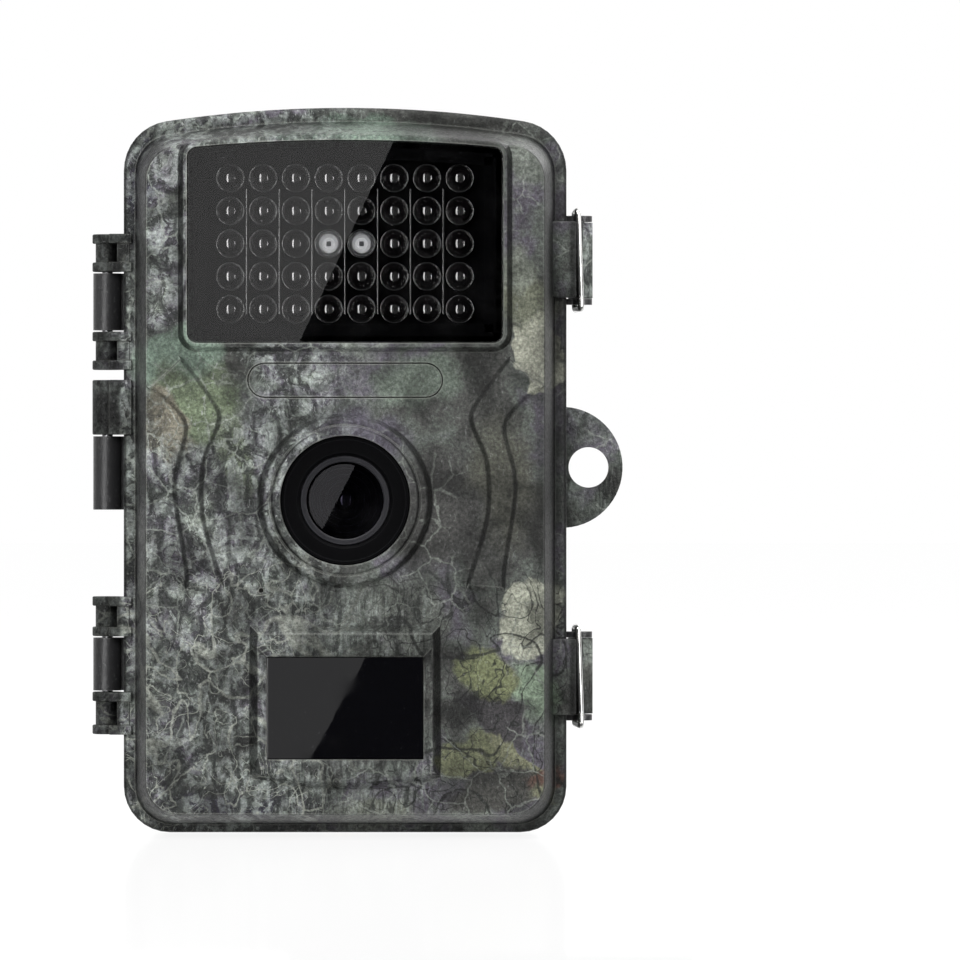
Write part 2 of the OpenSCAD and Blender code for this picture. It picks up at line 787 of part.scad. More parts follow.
module hinge_pins() {
    color(steel) for (s = pin_spans) rod_z(-hinge_x, hinge_y, hinge_pin_d / 2, s[0] + 0.15, s[1] - 0.15);
}

module latch_pins() {
    color(steel) for (z = latch_zs) rod_z(pivot[0], pivot[1], lever_pin_r, z - 8.3, z + 8.3);
}

// The lever: a barrel on the clevis pin, a smaller one for the wire, and a finger plate outside them.
module latch_lever(z) {
    color(camo) difference() {
        union() {
            rod_z(pivot[0], pivot[1], 1.7, z - lever_half, z + lever_half);
            rod_z(bail_pivot[0], bail_pivot[1], 1.3, z - lever_half, z + lever_half);
            block(pivot[0] + 0.7, 46.3, pivot[1], lever_tip_y, z - lever_half, z + lever_half);
            block(pivot[0] - 0.6, pivot[0] + 1, pivot[1], bail_pivot[1], z - lever_half, z + lever_half);
        }
        rod_z(pivot[0], pivot[1], lever_pin_r + 0.05, z - 9, z + 9);
        rod_z(bail_pivot[0], bail_pivot[1], wire_r + 0.05, z - 9, z + 9);
    }
}

module wire_run(a, b) {
    d = b - a;
    translate(a) rotate([0, acos(d[2] / norm(d)), atan2(d[1], d[0])]) cylinder(r = wire_r, h = norm(d));
}

// The wire loop: a front bar, two arms, and ends turned into the lever.
module latch_bail(z) {
    color("silver") for (s = [-1, 1]) {
        tip = [bail_pivot[0], bail_pivot[1], z + s * 1.5];
        heel = [bail_pivot[0], bail_pivot[1], z + s * bail_half];
        toe = [catch_bar[0], catch_bar[1], z + s * bail_half];
        middle = [catch_bar[0], catch_bar[1], z];
        wire_run(tip, heel);
        wire_run(heel, toe);
        wire_run(toe, middle);
        for (p = [heel, toe]) translate(p) sphere(r = wire_r);
    }
}

front_shell();
led_window();
ir_leds();
clear_leds();
led_holder();
led_board();
nameplate();
lens_ring();
lens_barrel();
lens_front_element();
lens_rear_element();
lens_holder();
ir_cut_filter();
image_sensor();
pir_window();
pir_sensor();
microphone();
main_board();
inner_panel();
lcd_screen();
for (i = [0:len(button_names) - 1])
    button(button_sites[i]);
mode_switch();
sd_slot();
sd_card();
usb_port();
speaker();
panel_screws();
power_pins();
mid_frame();
rear_shell();
case_seal();
hinge_pins();
batteries();
battery_springs();
contact_plates();
power_pads();
tripod_insert();
dc_jack();
dc_plug();
tree_bracket();
bracket_screws();
frame_screws();
latch_pins();
latch_lever(latch_upper_z);  // latch_lever_upper
latch_lever(latch_lower_z);  // latch_lever_lower
latch_bail(latch_upper_z);  // latch_bail_upper
latch_bail(latch_lower_z);  // latch_bail_lower
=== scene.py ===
"""Looks of the trail camera: smooth shells, diodes, lens, printed camouflage and a soft studio."""
import json
import math

import bmesh
import bpy
import numpy as np
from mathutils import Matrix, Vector
from mathutils.geometry import delaunay_2d_cdt


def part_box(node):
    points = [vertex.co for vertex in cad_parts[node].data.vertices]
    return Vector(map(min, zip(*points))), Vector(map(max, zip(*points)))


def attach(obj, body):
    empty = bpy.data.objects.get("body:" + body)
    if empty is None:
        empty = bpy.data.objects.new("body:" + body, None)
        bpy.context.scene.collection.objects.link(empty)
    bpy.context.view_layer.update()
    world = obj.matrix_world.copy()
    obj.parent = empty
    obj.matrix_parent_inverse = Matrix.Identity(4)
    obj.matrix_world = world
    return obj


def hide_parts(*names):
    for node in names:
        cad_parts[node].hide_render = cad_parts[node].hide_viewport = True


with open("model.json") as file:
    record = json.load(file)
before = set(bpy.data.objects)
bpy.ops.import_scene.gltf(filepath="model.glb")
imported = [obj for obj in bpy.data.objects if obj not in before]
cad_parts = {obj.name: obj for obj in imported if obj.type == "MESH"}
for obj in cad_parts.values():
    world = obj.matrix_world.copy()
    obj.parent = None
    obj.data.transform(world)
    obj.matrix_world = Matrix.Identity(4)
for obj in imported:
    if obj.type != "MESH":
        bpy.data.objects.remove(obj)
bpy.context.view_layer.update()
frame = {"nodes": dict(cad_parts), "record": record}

MM = 0.001
FRONT = "front_half"


def node_box(node):
    """Lowest and highest corner of a CAD node, in millimetres."""
    low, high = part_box(node)
    return [v / MM for v in low], [v / MM for v in high]


# ---- Driving dimensions, in millimetres, taken from the frame where it has them ----

_, shell_high = node_box("front_shell")
window_low, window_high = node_box("led_window")
sensor_low, sensor_high = node_box("pir_window")
seal_low, seal_high = node_box("case_seal")
ring_low, ring_high = node_box("lens_ring")
badge_low, badge_high = node_box("nameplate")
barrel_low, barrel_high = node_box("lens_barrel")
mic_low, mic_high = node_box("microphone")

CASE_HW = seal_high[0] + 1.95
CASE_H = shell_high[2]
CROWN_R = 224
PART_Y = seal_low[1] + 0.07
BACK_GAP = 0.12
RIM_Y = PART_Y - 4.5
FACE_Y = badge_low[1]
FACE_H = RIM_Y - FACE_Y
WALL = 2.4
LIP_Y = window_low[1] - 0.9
LENS_Z = (ring_low[2] + ring_high[2]) / 2
HINGE_X = -44.4

# ---- Outlines, as points in X and Z ----


def arc(x, z, r, start, end, n):
    """Points along an arc, with angles in degrees."""
    angles = np.radians(np.linspace(start, end, n + 1))
    return [(x + r * math.cos(a), z + r * math.sin(a)) for a in angles]


def line(a, b, n):
    """Points from a towards b, without b."""
    return [(a[0] + (b[0] - a[0]) * i / n, a[1] + (b[1] - a[1]) * i / n) for i in range(n)]


def crowned(hw, z0, z1, rb, rt, rc=CROWN_R, n=8, crown_n=28, side_n=14):
    """Outline with round corners and a crowned top, anticlockwise from the lower left."""
    cx = hw - rt
    cz = z1 - rc + math.sqrt((rc - rt) ** 2 - cx * cx)
    a = math.degrees(math.atan2(cz - z1 + rc, cx))
    lower_left = arc(-(hw - rb), z0 + rb, rb, 180, 270, n)
    lower_right = arc(hw - rb, z0 + rb, rb, 270, 360, n)
    upper_right = arc(cx, cz, rt, 0, a, n)
    crown = arc(0, z1 - rc, rc, a, 180 - a, crown_n)[1:-1]
    upper_left = arc(-cx, cz, rt, 180 - a, 180, n)
    points = lower_left[:-1] + line(lower_left[-1], lower_right[0], side_n)
    points += lower_right[:-1] + line(lower_right[-1], upper_right[0], side_n)
    points += upper_right + crown + upper_left[:-1] + line(upper_left[-1], lower_left[0], side_n)
    return points


def case_outline(inset):
    return crowned(CASE_HW - inset, inset, CASE_H - inset, 8.6 - inset * 0.8, 9.3 - inset * 0.8)


def wall_outline(t):
    """Outline of the sloping wall, from its foot on the rim (0) to the face (1)."""
    return crowned(
        CASE_HW - 2.15 - 2.4 * t, 1.5 + 2.6 * t, CASE_H - 2.5 - 3.2 * t, 7.1 - 1.1 * t, 7.3 - 1.0 * t
    )


def led_outline(grow):
    hw = window_high[0] + grow
    return crowned(hw, window_low[2] - grow, window_high[2] + grow, 1.8 + grow, 1.8 + grow, 300)


def pir_outline(inset):
    """The sensor frame: square at the top, bowed along its bottom edge."""
    hw, top, low = 17.8 - inset, 39.1 - inset, 10.4 + inset
    return line((-hw, top), (-hw, low), 10) + arc(0, 88.4 + inset, 80, 257.3, 282.7, 16) + \
        line((hw, low), (hw, top), 10) + line((hw, top), (-hw, top), 16)


def rectangle(hw, z0, z1, n=10):
    corners = [(-hw, z0), (hw, z0), (hw, z1), (-hw, z1)]
    return [p for i in range(4) for p in line(corners[i], corners[(i + 1) % 4], n)]


def sensor_outline(grow):
    """The motion sensor's window, grown by some millimetres."""
    return rectangle(sensor_high[0] + grow, sensor_low[2] - grow, sensor_high[2] + grow)


def circle(x, z, r, n=96):
    return arc(x, z, r, 0, 360, n)[:-1]


def pill(grow, n=12):
    """The nameplate's outline."""
    r = (badge_high[2] - badge_low[2]) / 2
    cx, z = badge_high[0] - r, (badge_low[2] + badge_high[2]) / 2
    return arc(cx, z, r + grow, -90, 90, n) + arc(-cx, z, r + grow, 90, 270, n)


def spline(points, n=5):
    """Smooth curve through control points."""
    p = [points[0]] + list(points) + [points[-1]]
    out = []
    for i in range(1, len(p) - 2):
        a, b, c, d = (np.array(q, float) for q in p[i - 1:i + 3])
        for k in range(n):
            t = k / n
            q = 2 * b + (c - a) * t + (2 * a - 5 * b + 4 * c - d) * t * t + (3 * b - a - 3 * c + d) * t ** 3
            out.append(tuple(q / 2))
    return out + [tuple(points[-1])]


# The raised shoulder beside the lens: control points of its two long edges.
SHOULDER_INNER = [
    (30.6, 88.4), (27.3, 84.2), (24.0, 79.4), (23.3, 76.2), (26.0, 69.5), (26.5, 62), (25.6, 56), (22.5, 46),
]
SHOULDER_OUTER = [
    (29.2, 45.4), (29.4, 50), (31.3, 62), (31, 68), (29.3, 75.5), (32.6, 80.2), (36.4, 82.8),
]


def shoulder(side):
    points = spline(SHOULDER_INNER) + spline(SHOULDER_OUTER)
    return [(side * x, z) for x, z in points]


def offset(points, d):
    """The outline moved outwards by d, along the mean of its neighbouring edges' normals."""
    p = np.array(points)
    edge = np.roll(p, -1, 0) - np.roll(p, 1, 0)
    normal = np.stack([edge[:, 1], -edge[:, 0]], 1)
    normal /= np.linalg.norm(normal, axis=1)[:, None] + 1e-9
    area = np.sum(p[:, 0] * np.roll(p[:, 1], -1) - np.roll(p[:, 0], -1) * p[:, 1])
    return [tuple(q) for q in p + normal * d * (1 if area > 0 else -1)]


def signed_distance(q, outline):
    """Distance of each point in q to a closed outline, negative inside."""
    a = np.array(outline)
    b = np.roll(a, -1, 0)
    best = np.full(len(q), 1e9)
    inside = np.zeros(len(q), bool)
    for (ax, az), (bx, bz) in zip(a, b):
        ex, ez = bx - ax, bz - az
        t = np.clip(((q[:, 0] - ax) * ex + (q[:, 1] - az) * ez) / (ex * ex + ez * ez + 1e-12), 0, 1)
        best = np.minimum(best, np.hypot(q[:, 0] - ax - ex * t, q[:, 1] - az - ez * t))
        if az != bz:
            crosses = (az > q[:, 1]) != (bz > q[:, 1])
            inside ^= crosses & (q[:, 0] < ax + ex * (q[:, 1] - az) / (bz - az))
    return np.where(inside, -best, best)


# ---- Height of the front over the rim plane ----


def smooth(t):
    t = np.clip(t, 0, 1)
    return t * t * (3 - 2 * t)


def eased(t, k):
    """A ramp from 0 to 1 whose two ends are rounded over the share k."""
    t = np.clip(t, 0, 1)
    ramp = np.where(t < k, t * t / (2 * k), np.where(t > 1 - k, 1 - k - (1 - t) ** 2 / (2 * k), t - k / 2))
    return ramp / (1 - k)


# Radius and height over the face of the moulded ring round the lens.
BEZEL_PROFILE = [
    (11.8, 3.15), (12.0, 3.35), (12.3, 3.4), (13.2, 3.3), (13.5, 3.1), (13.7, 2.65), (14.0, 2.5), (14.3, 2.6),
    (15.0, 2.45), (15.4, 2.1), (15.9, 0.4), (16.2, 0.08), (16.6, 0),
]
LIP_H = RIM_Y - LIP_Y
SHOULDER_H = 0.8
HOOD_H = 2.6
HOOD_STEP = 1.3
RIM_FILLET = 0.9


def front_height(q):
    """How far the front stands out of the rim plane at points q."""
    foot = -signed_distance(q, wall_outline(0))
    face = signed_distance(q, wall_outline(1))
    t = np.where(foot <= 0, 0, np.where(face <= 0, 1, foot / (foot + np.maximum(face, 1e-6))))
    h = FACE_H * eased(t, 0.12)
    edge = np.clip(-signed_distance(q, case_outline(0)), 0, RIM_FILLET)
    h -= RIM_FILLET - np.sqrt(np.maximum(RIM_FILLET ** 2 - (RIM_FILLET - edge) ** 2, 0))
    for side in (-1, 1):
        d = signed_distance(q, shoulder(side))
        h += SHOULDER_H * smooth(0.5 - d / 1.3) * smooth((t - 0.9) / 0.1)
    d = signed_distance(q, led_outline(0))
    w = eased((1.85 - d) / 1.15, 0.25)
    h = h * (1 - w) + LIP_H * w
    r = np.hypot(q[:, 0], q[:, 1] - LENS_Z)
    h += np.interp(r, *zip(*BEZEL_PROFILE))
    return h + sensor_frame_height(q)


def sensor_frame_height(q):
    """How far the motion sensor's frame stands out of the face, higher over the window than round it."""
    inner = -signed_distance(q, pir_outline(0))
    window = signed_distance(q, sensor_outline(0))
    outer_wall = HOOD_H * eased(inner / 1.8, 0.25)
    above = np.clip((q[:, 1] - sensor_high[2]) / 4.0, 0, 1)
    hood = np.where(q[:, 1] > sensor_high[2], HOOD_STEP * (1 - above), 0)
    lip = 0.45 * np.clip(1 - window / 1.3, 0, 1)
    return np.where(inner > 0, outer_wall - np.maximum(hood, lip) * smooth(inner / 1.8), 0)


# ---- Mesh building ----


def finish_mesh(bm, name, smooth_angle=38):
    """Makes an object of a mesh that was built in millimetres."""
    bmesh.ops.remove_doubles(bm, verts=bm.verts, dist=0.004)
    bmesh.ops.recalc_face_normals(bm, faces=bm.faces)
    bmesh.ops.scale(bm, vec=(MM, MM, MM), verts=bm.verts)
    mesh = bpy.data.meshes.new(name)
    bm.to_mesh(mesh)
    bm.free()
    obj = bpy.data.objects.new(name, mesh)
    bpy.context.scene.collection.objects.link(obj)
    shade(obj, smooth_angle)
    return obj


def shade(obj, angle):
    """Smooth shading that stays sharp at edges over the angle."""
    for polygon in obj.data.polygons:
        polygon.use_smooth = True
    bm = bmesh.new()
    bm.from_mesh(obj.data)
    for edge in bm.edges:
        if len(edge.link_faces) == 2:
            edge.smooth = edge.calc_face_angle(0) < math.radians(angle)
    bm.to_mesh(obj.data)
    bm.free()


def ring(bm, points, y):
    return [bm.verts.new((x, y, z)) for x, z in points]


def strip(bm, a, b):
    """Quads between two closed rings with the same number of points."""
    n = len(a)
    for i in range(n):
        bm.faces.new((a[i], a[(i + 1) % n], b[(i + 1) % n], b[i]))


def tube(bm, levels):
    """A wall through rings given as (outline, y)."""
    rings = [ring(bm, points, y) for points, y in levels]
    for a, b in zip(rings, rings[1:]):
        strip(bm, a, b)


def patch(bm, outline, holes, guides, height):
    """A triangulated surface inside an outline, with holes, that follows the guide curves.
    height gives Y for an array of points."""
    points, edges = [], []
    for loop in [outline] + holes + guides:
        start = len(points)
        points += [Vector(p) for p in loop]
        edges += [(start + i, start + (i + 1) % len(loop)) for i in range(len(loop))]
    verts, _, faces, _, _, _ = delaunay_2d_cdt(points, edges, [], 0, 1e-5)
    q = np.array([tuple(v) for v in verts])
    ys = height(q)
    centres = np.array([q[list(f)].mean(0) for f in faces])
    keep = signed_distance(centres, outline) < 0
    for hole in holes:
        keep &= signed_distance(centres, hole) > 0
    made = [bm.verts.new((x, y, z)) for (x, z), y in zip(q, ys)]
    for f, kept in zip(faces, keep):
        if kept:
            bm.faces.new([made[i] for i in f])
    bmesh.ops.delete(bm, geom=[v for v in made if not v.link_faces], context="VERTS")


def lathe(bm, profile, x, z, n=64):
    """Turns (radius, y) points about a line along Y."""
    rings = []
    for r, y in profile:
        if r < 1e-6:
            rings.append([bm.verts.new((x, y, z))])
        else:
            rings.append(ring(bm, circle(x, z, r, n), y))
    for a, b in zip(rings, rings[1:]):
        if len(a) == 1 or len(b) == 1:
            tip, base = (a[0], b) if len(a) == 1 else (b[0], a)
            for i in range(len(base)):
                bm.faces.new((tip, base[i], base[(i + 1) % len(base)]))
        else:
            strip(bm, a, b)


def behind(y, profile):
    """The profile with its depths counted from y."""
    return [(r, y + depth) for r, depth in profile]


# ---- Front shell ----

CEILING_Y = FACE_Y + WALL
SEAT_Y = window_high[1] + 0.05
LED_HOLE = led_outline(0.1)
LED_THROUGH = led_outline(-1.2)
LENS_HOLE_R = ring_high[0] + 0.1
LENS_THROUGH_R = barrel_high[0] + 0.4
PIR_HOLE = sensor_outline(0.1)
PIR_THROUGH = sensor_outline(-1.5)
MIC_HOLE = circle((mic_low[0] + mic_high[0]) / 2, (mic_low[2] + mic_high[2]) / 2, 0.45, 20)


def surface_y(q):
    return RIM_Y - front_height(np.array(q, float).reshape(-1, 2))


def front_guides():
    """Curves that the front's triangles follow, so that every fillet and step is crisp."""
    guides = [case_outline(i) for i in (0.08, 0.25, 0.5, 0.9, 1.5)]
    guides += [wall_outline(t) for t in (0, 0.04, 0.08, 0.12, 0.35, 0.6, 0.88, 0.92, 0.96, 1.0)]
    guides += [led_outline(g) for g in (0.35, 0.7, 0.85, 1.0, 1.3, 1.6, 1.72, 1.85)]
    for side in (-1, 1):
        guides += [offset(shoulder(side), d) for d in (-0.65, -0.4, -0.15, 0.15, 0.4, 0.65)]
    guides += [circle(0, LENS_Z, r) for r, _ in BEZEL_PROFILE[1:]]
    guides += [pir_outline(i) for i in (0, 0.2, 0.45, 0.9, 1.35, 1.6, 1.8)]
    guides += [sensor_outline(g) for g in (0.5, 1.3)]
    return guides + [pill(0.3)]


def surface_ring(bm, points):
    """A ring of points that lie on the front's surface."""
    return [bm.verts.new((x, y, z)) for (x, z), y in zip(points, surface_y(points))]


def hole_wall(bm, hole, through):
    """The wall of a window's recess: in to the seat, across it and out to the inside."""
    lip = surface_ring(bm, hole)
    seat = ring(bm, hole, SEAT_Y)
    edge = ring(bm, through, SEAT_Y)
    inside = ring(bm, through, CEILING_Y)
    for a, b in ((lip, seat), (seat, edge), (edge, inside)):
        strip(bm, a, b)


def build_front_shell():
    bm = bmesh.new()
    lens_hole = circle(0, LENS_Z, LENS_HOLE_R)
    lens_through = circle(0, LENS_Z, LENS_THROUGH_R)
    plate = pill(0.22)
    patch(bm, case_outline(0), [LED_HOLE, lens_hole, PIR_HOLE, MIC_HOLE, plate], front_guides(), surface_y)
    tube(bm, [(case_outline(0), RIM_Y + RIM_FILLET), (case_outline(0), PART_Y - BACK_GAP - 0.3),
              (case_outline(0.3), PART_Y - BACK_GAP), (case_outline(4.4), PART_Y - BACK_GAP),
              (case_outline(4.5), PART_Y - 1.5), (wall_outline(1.0), CEILING_Y)])
    for hole, through in ((LED_HOLE, LED_THROUGH), (lens_hole, lens_through), (PIR_HOLE, PIR_THROUGH)):
        hole_wall(bm, hole, through)
    strip(bm, surface_ring(bm, MIC_HOLE), ring(bm, MIC_HOLE, CEILING_Y))
    top = surface_ring(bm, plate)
    floor = ring(bm, plate, FACE_Y + 1)
    strip(bm, top, floor)
    bm.faces.new(floor)
    patch(bm, wall_outline(1.0), [LED_THROUGH, lens_through, PIR_THROUGH, MIC_HOLE], [],
          lambda q: np.full(len(q), CEILING_Y))
    return finish_mesh(bm, "front_shell_skin")


# ---- Solid shapes added to a mesh ----


def rounded_block(bm, low, high, r):
    """A box between two corners with its edges rounded."""
    made = bmesh.ops.create_cube(bm, size=1)["verts"]
    size = [b - a for a, b in zip(low, high)]
    middle = [(a + b) / 2 for a, b in zip(low, high)]
    bmesh.ops.scale(bm, vec=size, verts=made)
    bmesh.ops.translate(bm, vec=middle, verts=made)
    edges = list({e for v in made for e in v.link_edges})
    bmesh.ops.bevel(bm, geom=edges, offset=r, segments=3, profile=0.5, affect="EDGES")


def turned_z(bm, profile, x, y, n=40):
    """Turns (radius, z) points about an upright line, and closes both ends."""
    rings = []
    for r, z in profile:
        rings.append([bm.verts.new((x + r * math.cos(a), y + r * math.sin(a), z))
                      for a in np.linspace(0, 2 * math.pi, n, endpoint=False)])
    for a, b in zip(rings, rings[1:]):
        strip(bm, a, b)
    bm.faces.new(rings[0])
    bm.faces.new(rings[-1])


def rounded_ends(r, z0, z1, edge):
    """Profile of a bar along Z with rounded ends."""
    turns = np.linspace(0, math.pi / 2, 4)
    low = [(r - edge + edge * math.sin(a), z0 + edge - edge * math.cos(a)) for a in turns]
    high = [(r - edge + edge * math.cos(a), z1 - edge + edge * math.sin(a)) for a in turns]
    return low + high


# ---- Hinge lugs and catches, moulded on the front shell ----

LUG_R = 2.8
LUG_SPANS = [(18.2, 26.1), (36.5, 43.9), (74.1, 84.3), (86.2, 93.3), (104.5, 111.5)]
FLANGE = 1.75
LEVER_HALF = 7.05
CATCH_X = 43.7
CATCH_Y = -16.3
WIRE_R = 0.6
LATCH_ZS = [106.7, 29.0]
WHOLE_LUG = 9


def lug_slice(bm, z0, z1, r, arm_x, arm_y):
    """One height of a lug: a barrel with an arm that laps over the rim."""
    turned_z(bm, rounded_ends(r, z0, z1, 0.25), HINGE_X, PART_Y)
    rounded_block(bm, (arm_x, arm_y, z0), (-CASE_HW + 1.6, PART_Y - 0.3, z1), 0.25)


def hinge_lug(bm, z0, z1):
    """A tall lug is solid; a short one is a spool, with a flange at each end."""
    if z1 - z0 > WHOLE_LUG:
        lug_slice(bm, z0, z1, LUG_R, HINGE_X + 0.4, RIM_Y - 0.6)
        return
    lug_slice(bm, z0, z0 + FLANGE, LUG_R, HINGE_X + 0.4, RIM_Y - 0.6)
    lug_slice(bm, z1 - FLANGE, z1, LUG_R, HINGE_X + 0.4, RIM_Y - 0.6)
    turned_z(bm, rounded_ends(LUG_R - 0.6, z0 + 1, z1 - 1, 0.1), HINGE_X, PART_Y)
    rounded_block(bm, (HINGE_X + 1.9, RIM_Y - 0.1, z0 + 1), (-CASE_HW + 1.2, PART_Y - 0.3, z1 - 1), 0.2)


def catch(bm, z):
    """A ledge for the latch wire and the block that keeps the wire from sliding inwards."""
    z0, z1 = z - LEVER_HALF, z + LEVER_HALF
    ledge_y = CATCH_Y + WIRE_R + 0.2
    rounded_block(bm, (CASE_HW - 1, ledge_y, z0), (CATCH_X + 0.6, PART_Y - 0.8, z1), 0.2)
    rounded_block(bm, (CASE_HW - 3.6, RIM_Y - 2.6, z0), (CATCH_X - WIRE_R - 0.15, PART_Y - 1, z1), 0.35)


def build_front_fittings():
    bm = bmesh.new()
    for z0, z1 in LUG_SPANS:
        hinge_lug(bm, z0, z1)
    for z in LATCH_ZS:
        catch(bm, z)
    return finish_mesh(bm, "front_shell_fittings", 30)


# ---- Diodes, seen through the dark window ----

diode_low, diode_high = node_box("ir_leds")
DIODE_R = 2.5
COLUMNS, ROWS = 8, 5
PITCH = (diode_high[0] - DIODE_R - 0.3) / ((COLUMNS - 1) / 2)
DIODE_MID_Z = (diode_low[2] + diode_high[2]) / 2
TIP_Y = diode_low[1]
DIODE_BACK_Y = diode_high[1]
# Radius and depth behind the tip of the silvered cup inside a clear diode.
CUP_PROFILE = [
    (2.35, 2.1), (2.2, 2.3), (1.95, 2.35), (1.85, 2.1), (1.7, 2.2), (1.1, 3.0), (0.95, 2.9), (0.8, 3.0),
    (0, 3.05),
]
RIM_DEPTH = 1.5
RIM_WIRE_R = 0.2
CHIP_HALF = 0.45


def diode_sites():
    """(x, z, clear) of each diode; the two in the middle of the third row are clear."""
    for row in range(ROWS):
        for column in range(COLUMNS):
            x = (column - (COLUMNS - 1) / 2) * PITCH
            z = DIODE_MID_Z + ((ROWS - 1) / 2 - row) * PITCH
            yield x, z, abs(x) < PITCH and row == ROWS // 2


def dome_profile(r, back):
    """A domed barrel with a flange, from its tip at y = 0."""
    dome = [(r * math.sin(a), r - r * math.cos(a)) for a in np.linspace(0, math.pi / 2, 14)]
    return dome + [(r, back - 1.1), (r + 0.12, back - 1.0), (r + 0.3, back - 0.9), (r + 0.3, back)]


def at_diodes(name, add, kinds=(True, False), smooth_angle=25):
    """A piece that has the same shape at each diode of the kinds; True stands for the clear ones."""
    bm = bmesh.new()
    for x, z, clear in diode_sites():
        if clear in kinds:
            add(bm, x, z)
    return finish_mesh(bm, name, smooth_angle)


def turned_at(profile, n=32):
    """A shape for at_diodes: a profile, with depths behind the tip, turned about the diode."""
    return lambda bm, x, z: lathe(bm, behind(TIP_Y, profile), x, z, n)


def add_chip(bm, x, z):
    low = (x - CHIP_HALF, TIP_Y + 2.75, z - CHIP_HALF)
    rounded_block(bm, low, (x + CHIP_HALF, TIP_Y + 3.1, z + CHIP_HALF), 0.08)


def build_diodes(clear, name):
    return at_diodes(name, turned_at(dome_profile(DIODE_R, DIODE_BACK_Y - TIP_Y)), (clear,), 30)


def build_reflector_cups():
    """The silvered cup inside each clear diode."""
    return at_diodes("diode_reflector_cups", turned_at(CUP_PROFILE), (True,))


def build_chips():
    """The small square chip in each cup."""
    return at_diodes("diode_chips", add_chip, (True,))


def build_diode_rims():
    """A fine raised rim round each diode."""
    rim = [(DIODE_R + RIM_WIRE_R * math.cos(a), RIM_DEPTH + RIM_WIRE_R * math.sin(a))
           for a in np.linspace(0, 2 * math.pi, 13)]
    return at_diodes("diode_rims", turned_at(rim, 48), smooth_angle=60)


def build_window_mask():
    """A black ring on the back of the diode window, round its edge, over the recess walls behind it."""
    bm = bmesh.new()
    front, back = window_high[1] + 0.05, window_high[1] + 0.15
    edges = [(-0.2, front), (-3.4, front), (-3.4, back), (-0.2, back), (-0.2, front)]
    tube(bm, [(led_outline(grow), y) for grow, y in edges])
    return finish_mesh(bm, "led_window_mask", 30)


def build_holder_ribs():
    """Thin upright ribs on the diode holder between its columns."""
    bm = bmesh.new()
    top = DIODE_MID_Z + (ROWS - 1) / 2 * PITCH
    low = DIODE_MID_Z - (ROWS - 1) / 2 * PITCH
    y = node_box("led_holder")[0][1]
    for column in range(COLUMNS - 1):
        x = (column - (COLUMNS - 2) / 2) * PITCH
        rounded_block(bm, (x - 0.18, y - 2.2, low - 1), (x + 0.18, y + 0.1, top - 2), 0.12)
    return finish_mesh(bm, "led_holder_ribs", 25)


# ---- Lens ----

BARREL_FRONT, BARREL_BACK = barrel_low[1], barrel_high[1]


def turned_piece(name, profile, n=96, smooth_angle=25):
    """A piece of (radius, y) points turned about the lens axis."""
    bm = bmesh.new()
    lathe(bm, profile, 0, LENS_Z, n)
    return finish_mesh(bm, name, smooth_angle)


def build_lens_ring():
    """The black trim disc, with a fine bead at its rim and a bevel down to the barrel."""
    outer, inner = ring_high[0], barrel_high[0] + 0.15
    profile = [
        (outer, 2), (outer, 0.15), (outer - 0.15, 0), (outer - 0.6, 0), (outer - 0.7, 0.12),
        (inner + 0.5, 0.2), (inner, 0.6), (inner, 2), (outer, 2),
    ]
    return turned_piece("lens_trim_ring", behind(ring_low[1], profile))


def build_lens_barrel():
    """The barrel's mouth: a satin ring round the cover glass."""
    r = barrel_high[0]
    lip = [(r, 0.15), (r - 0.15, 0), (7.35, 0.05), (7.15, 0.2), (7.1, 1.3), (7.3, 1.4)]
    profile = [(r, BARREL_BACK)] + behind(BARREL_FRONT, lip) + [(7.3, BARREL_BACK), (r, BARREL_BACK)]
    return turned_piece("lens_barrel_ring", profile)


def build_lens_baffles():
    """Stepped baffles that narrow down to the small inner lens."""
    steps = [
        (7.25, 1.3), (6.0, 1.6), (5.9, 2.2), (4.8, 2.4), (4.7, 2.9), (3.6, 3.1), (3.5, 3.5), (2.4, 3.7),
        (2.2, 4.0), (2.0, 4.1),
    ]
    profile = [(7.25, BARREL_BACK)] + behind(BARREL_FRONT, steps) + [(2.0, BARREL_BACK), (7.25, BARREL_BACK)]
    return turned_piece("lens_baffles", profile)


def build_cover_glass():
    """The flat cover glass with a polished chamfer."""
    profile = [(0, 0), (6.7, 0), (6.95, 0.25), (6.95, 0.8), (0, 0.8)]
    return turned_piece("lens_cover_glass", behind(BARREL_FRONT + 0.35, profile))


def build_inner_lens():
    """The small domed element at the bottom of the barrel."""
    dome = [(1.95 * math.sin(a), 1.2 * (1 - math.cos(a))) for a in np.linspace(0, math.pi / 2, 12)]
    return turned_piece("lens_inner_element", behind(BARREL_FRONT + 3.4, dome + [(1.95, 2)]), 48, 30)


# ---- Latch wires ----

BAIL_X, BAIL_Y = 43.1, -4.5
BAIL_HALF = 9.7
WIRE_LEAN = 0.35


def rounded_path(corners, r, n=5):
    """Straight runs through the corners, each corner rounded to radius r."""
    points = [Vector(corners[0])]
    for a, b, c in zip(corners, corners[1:], corners[2:]):
        a, b, c = Vector(a), Vector(b), Vector(c)
        to_a, to_c = (a - b).normalized(), (c - b).normalized()
        half = to_a.angle(to_c) / 2
        cut = r / math.tan(half)
        centre = b + (to_a + to_c).normalized() * (r / math.sin(half))
        start, stop = b + to_a * cut - centre, b + to_c * cut - centre
        points += [centre + start.slerp(stop, i / n) for i in range(n + 1)]
    return points + [Vector(corners[-1])]


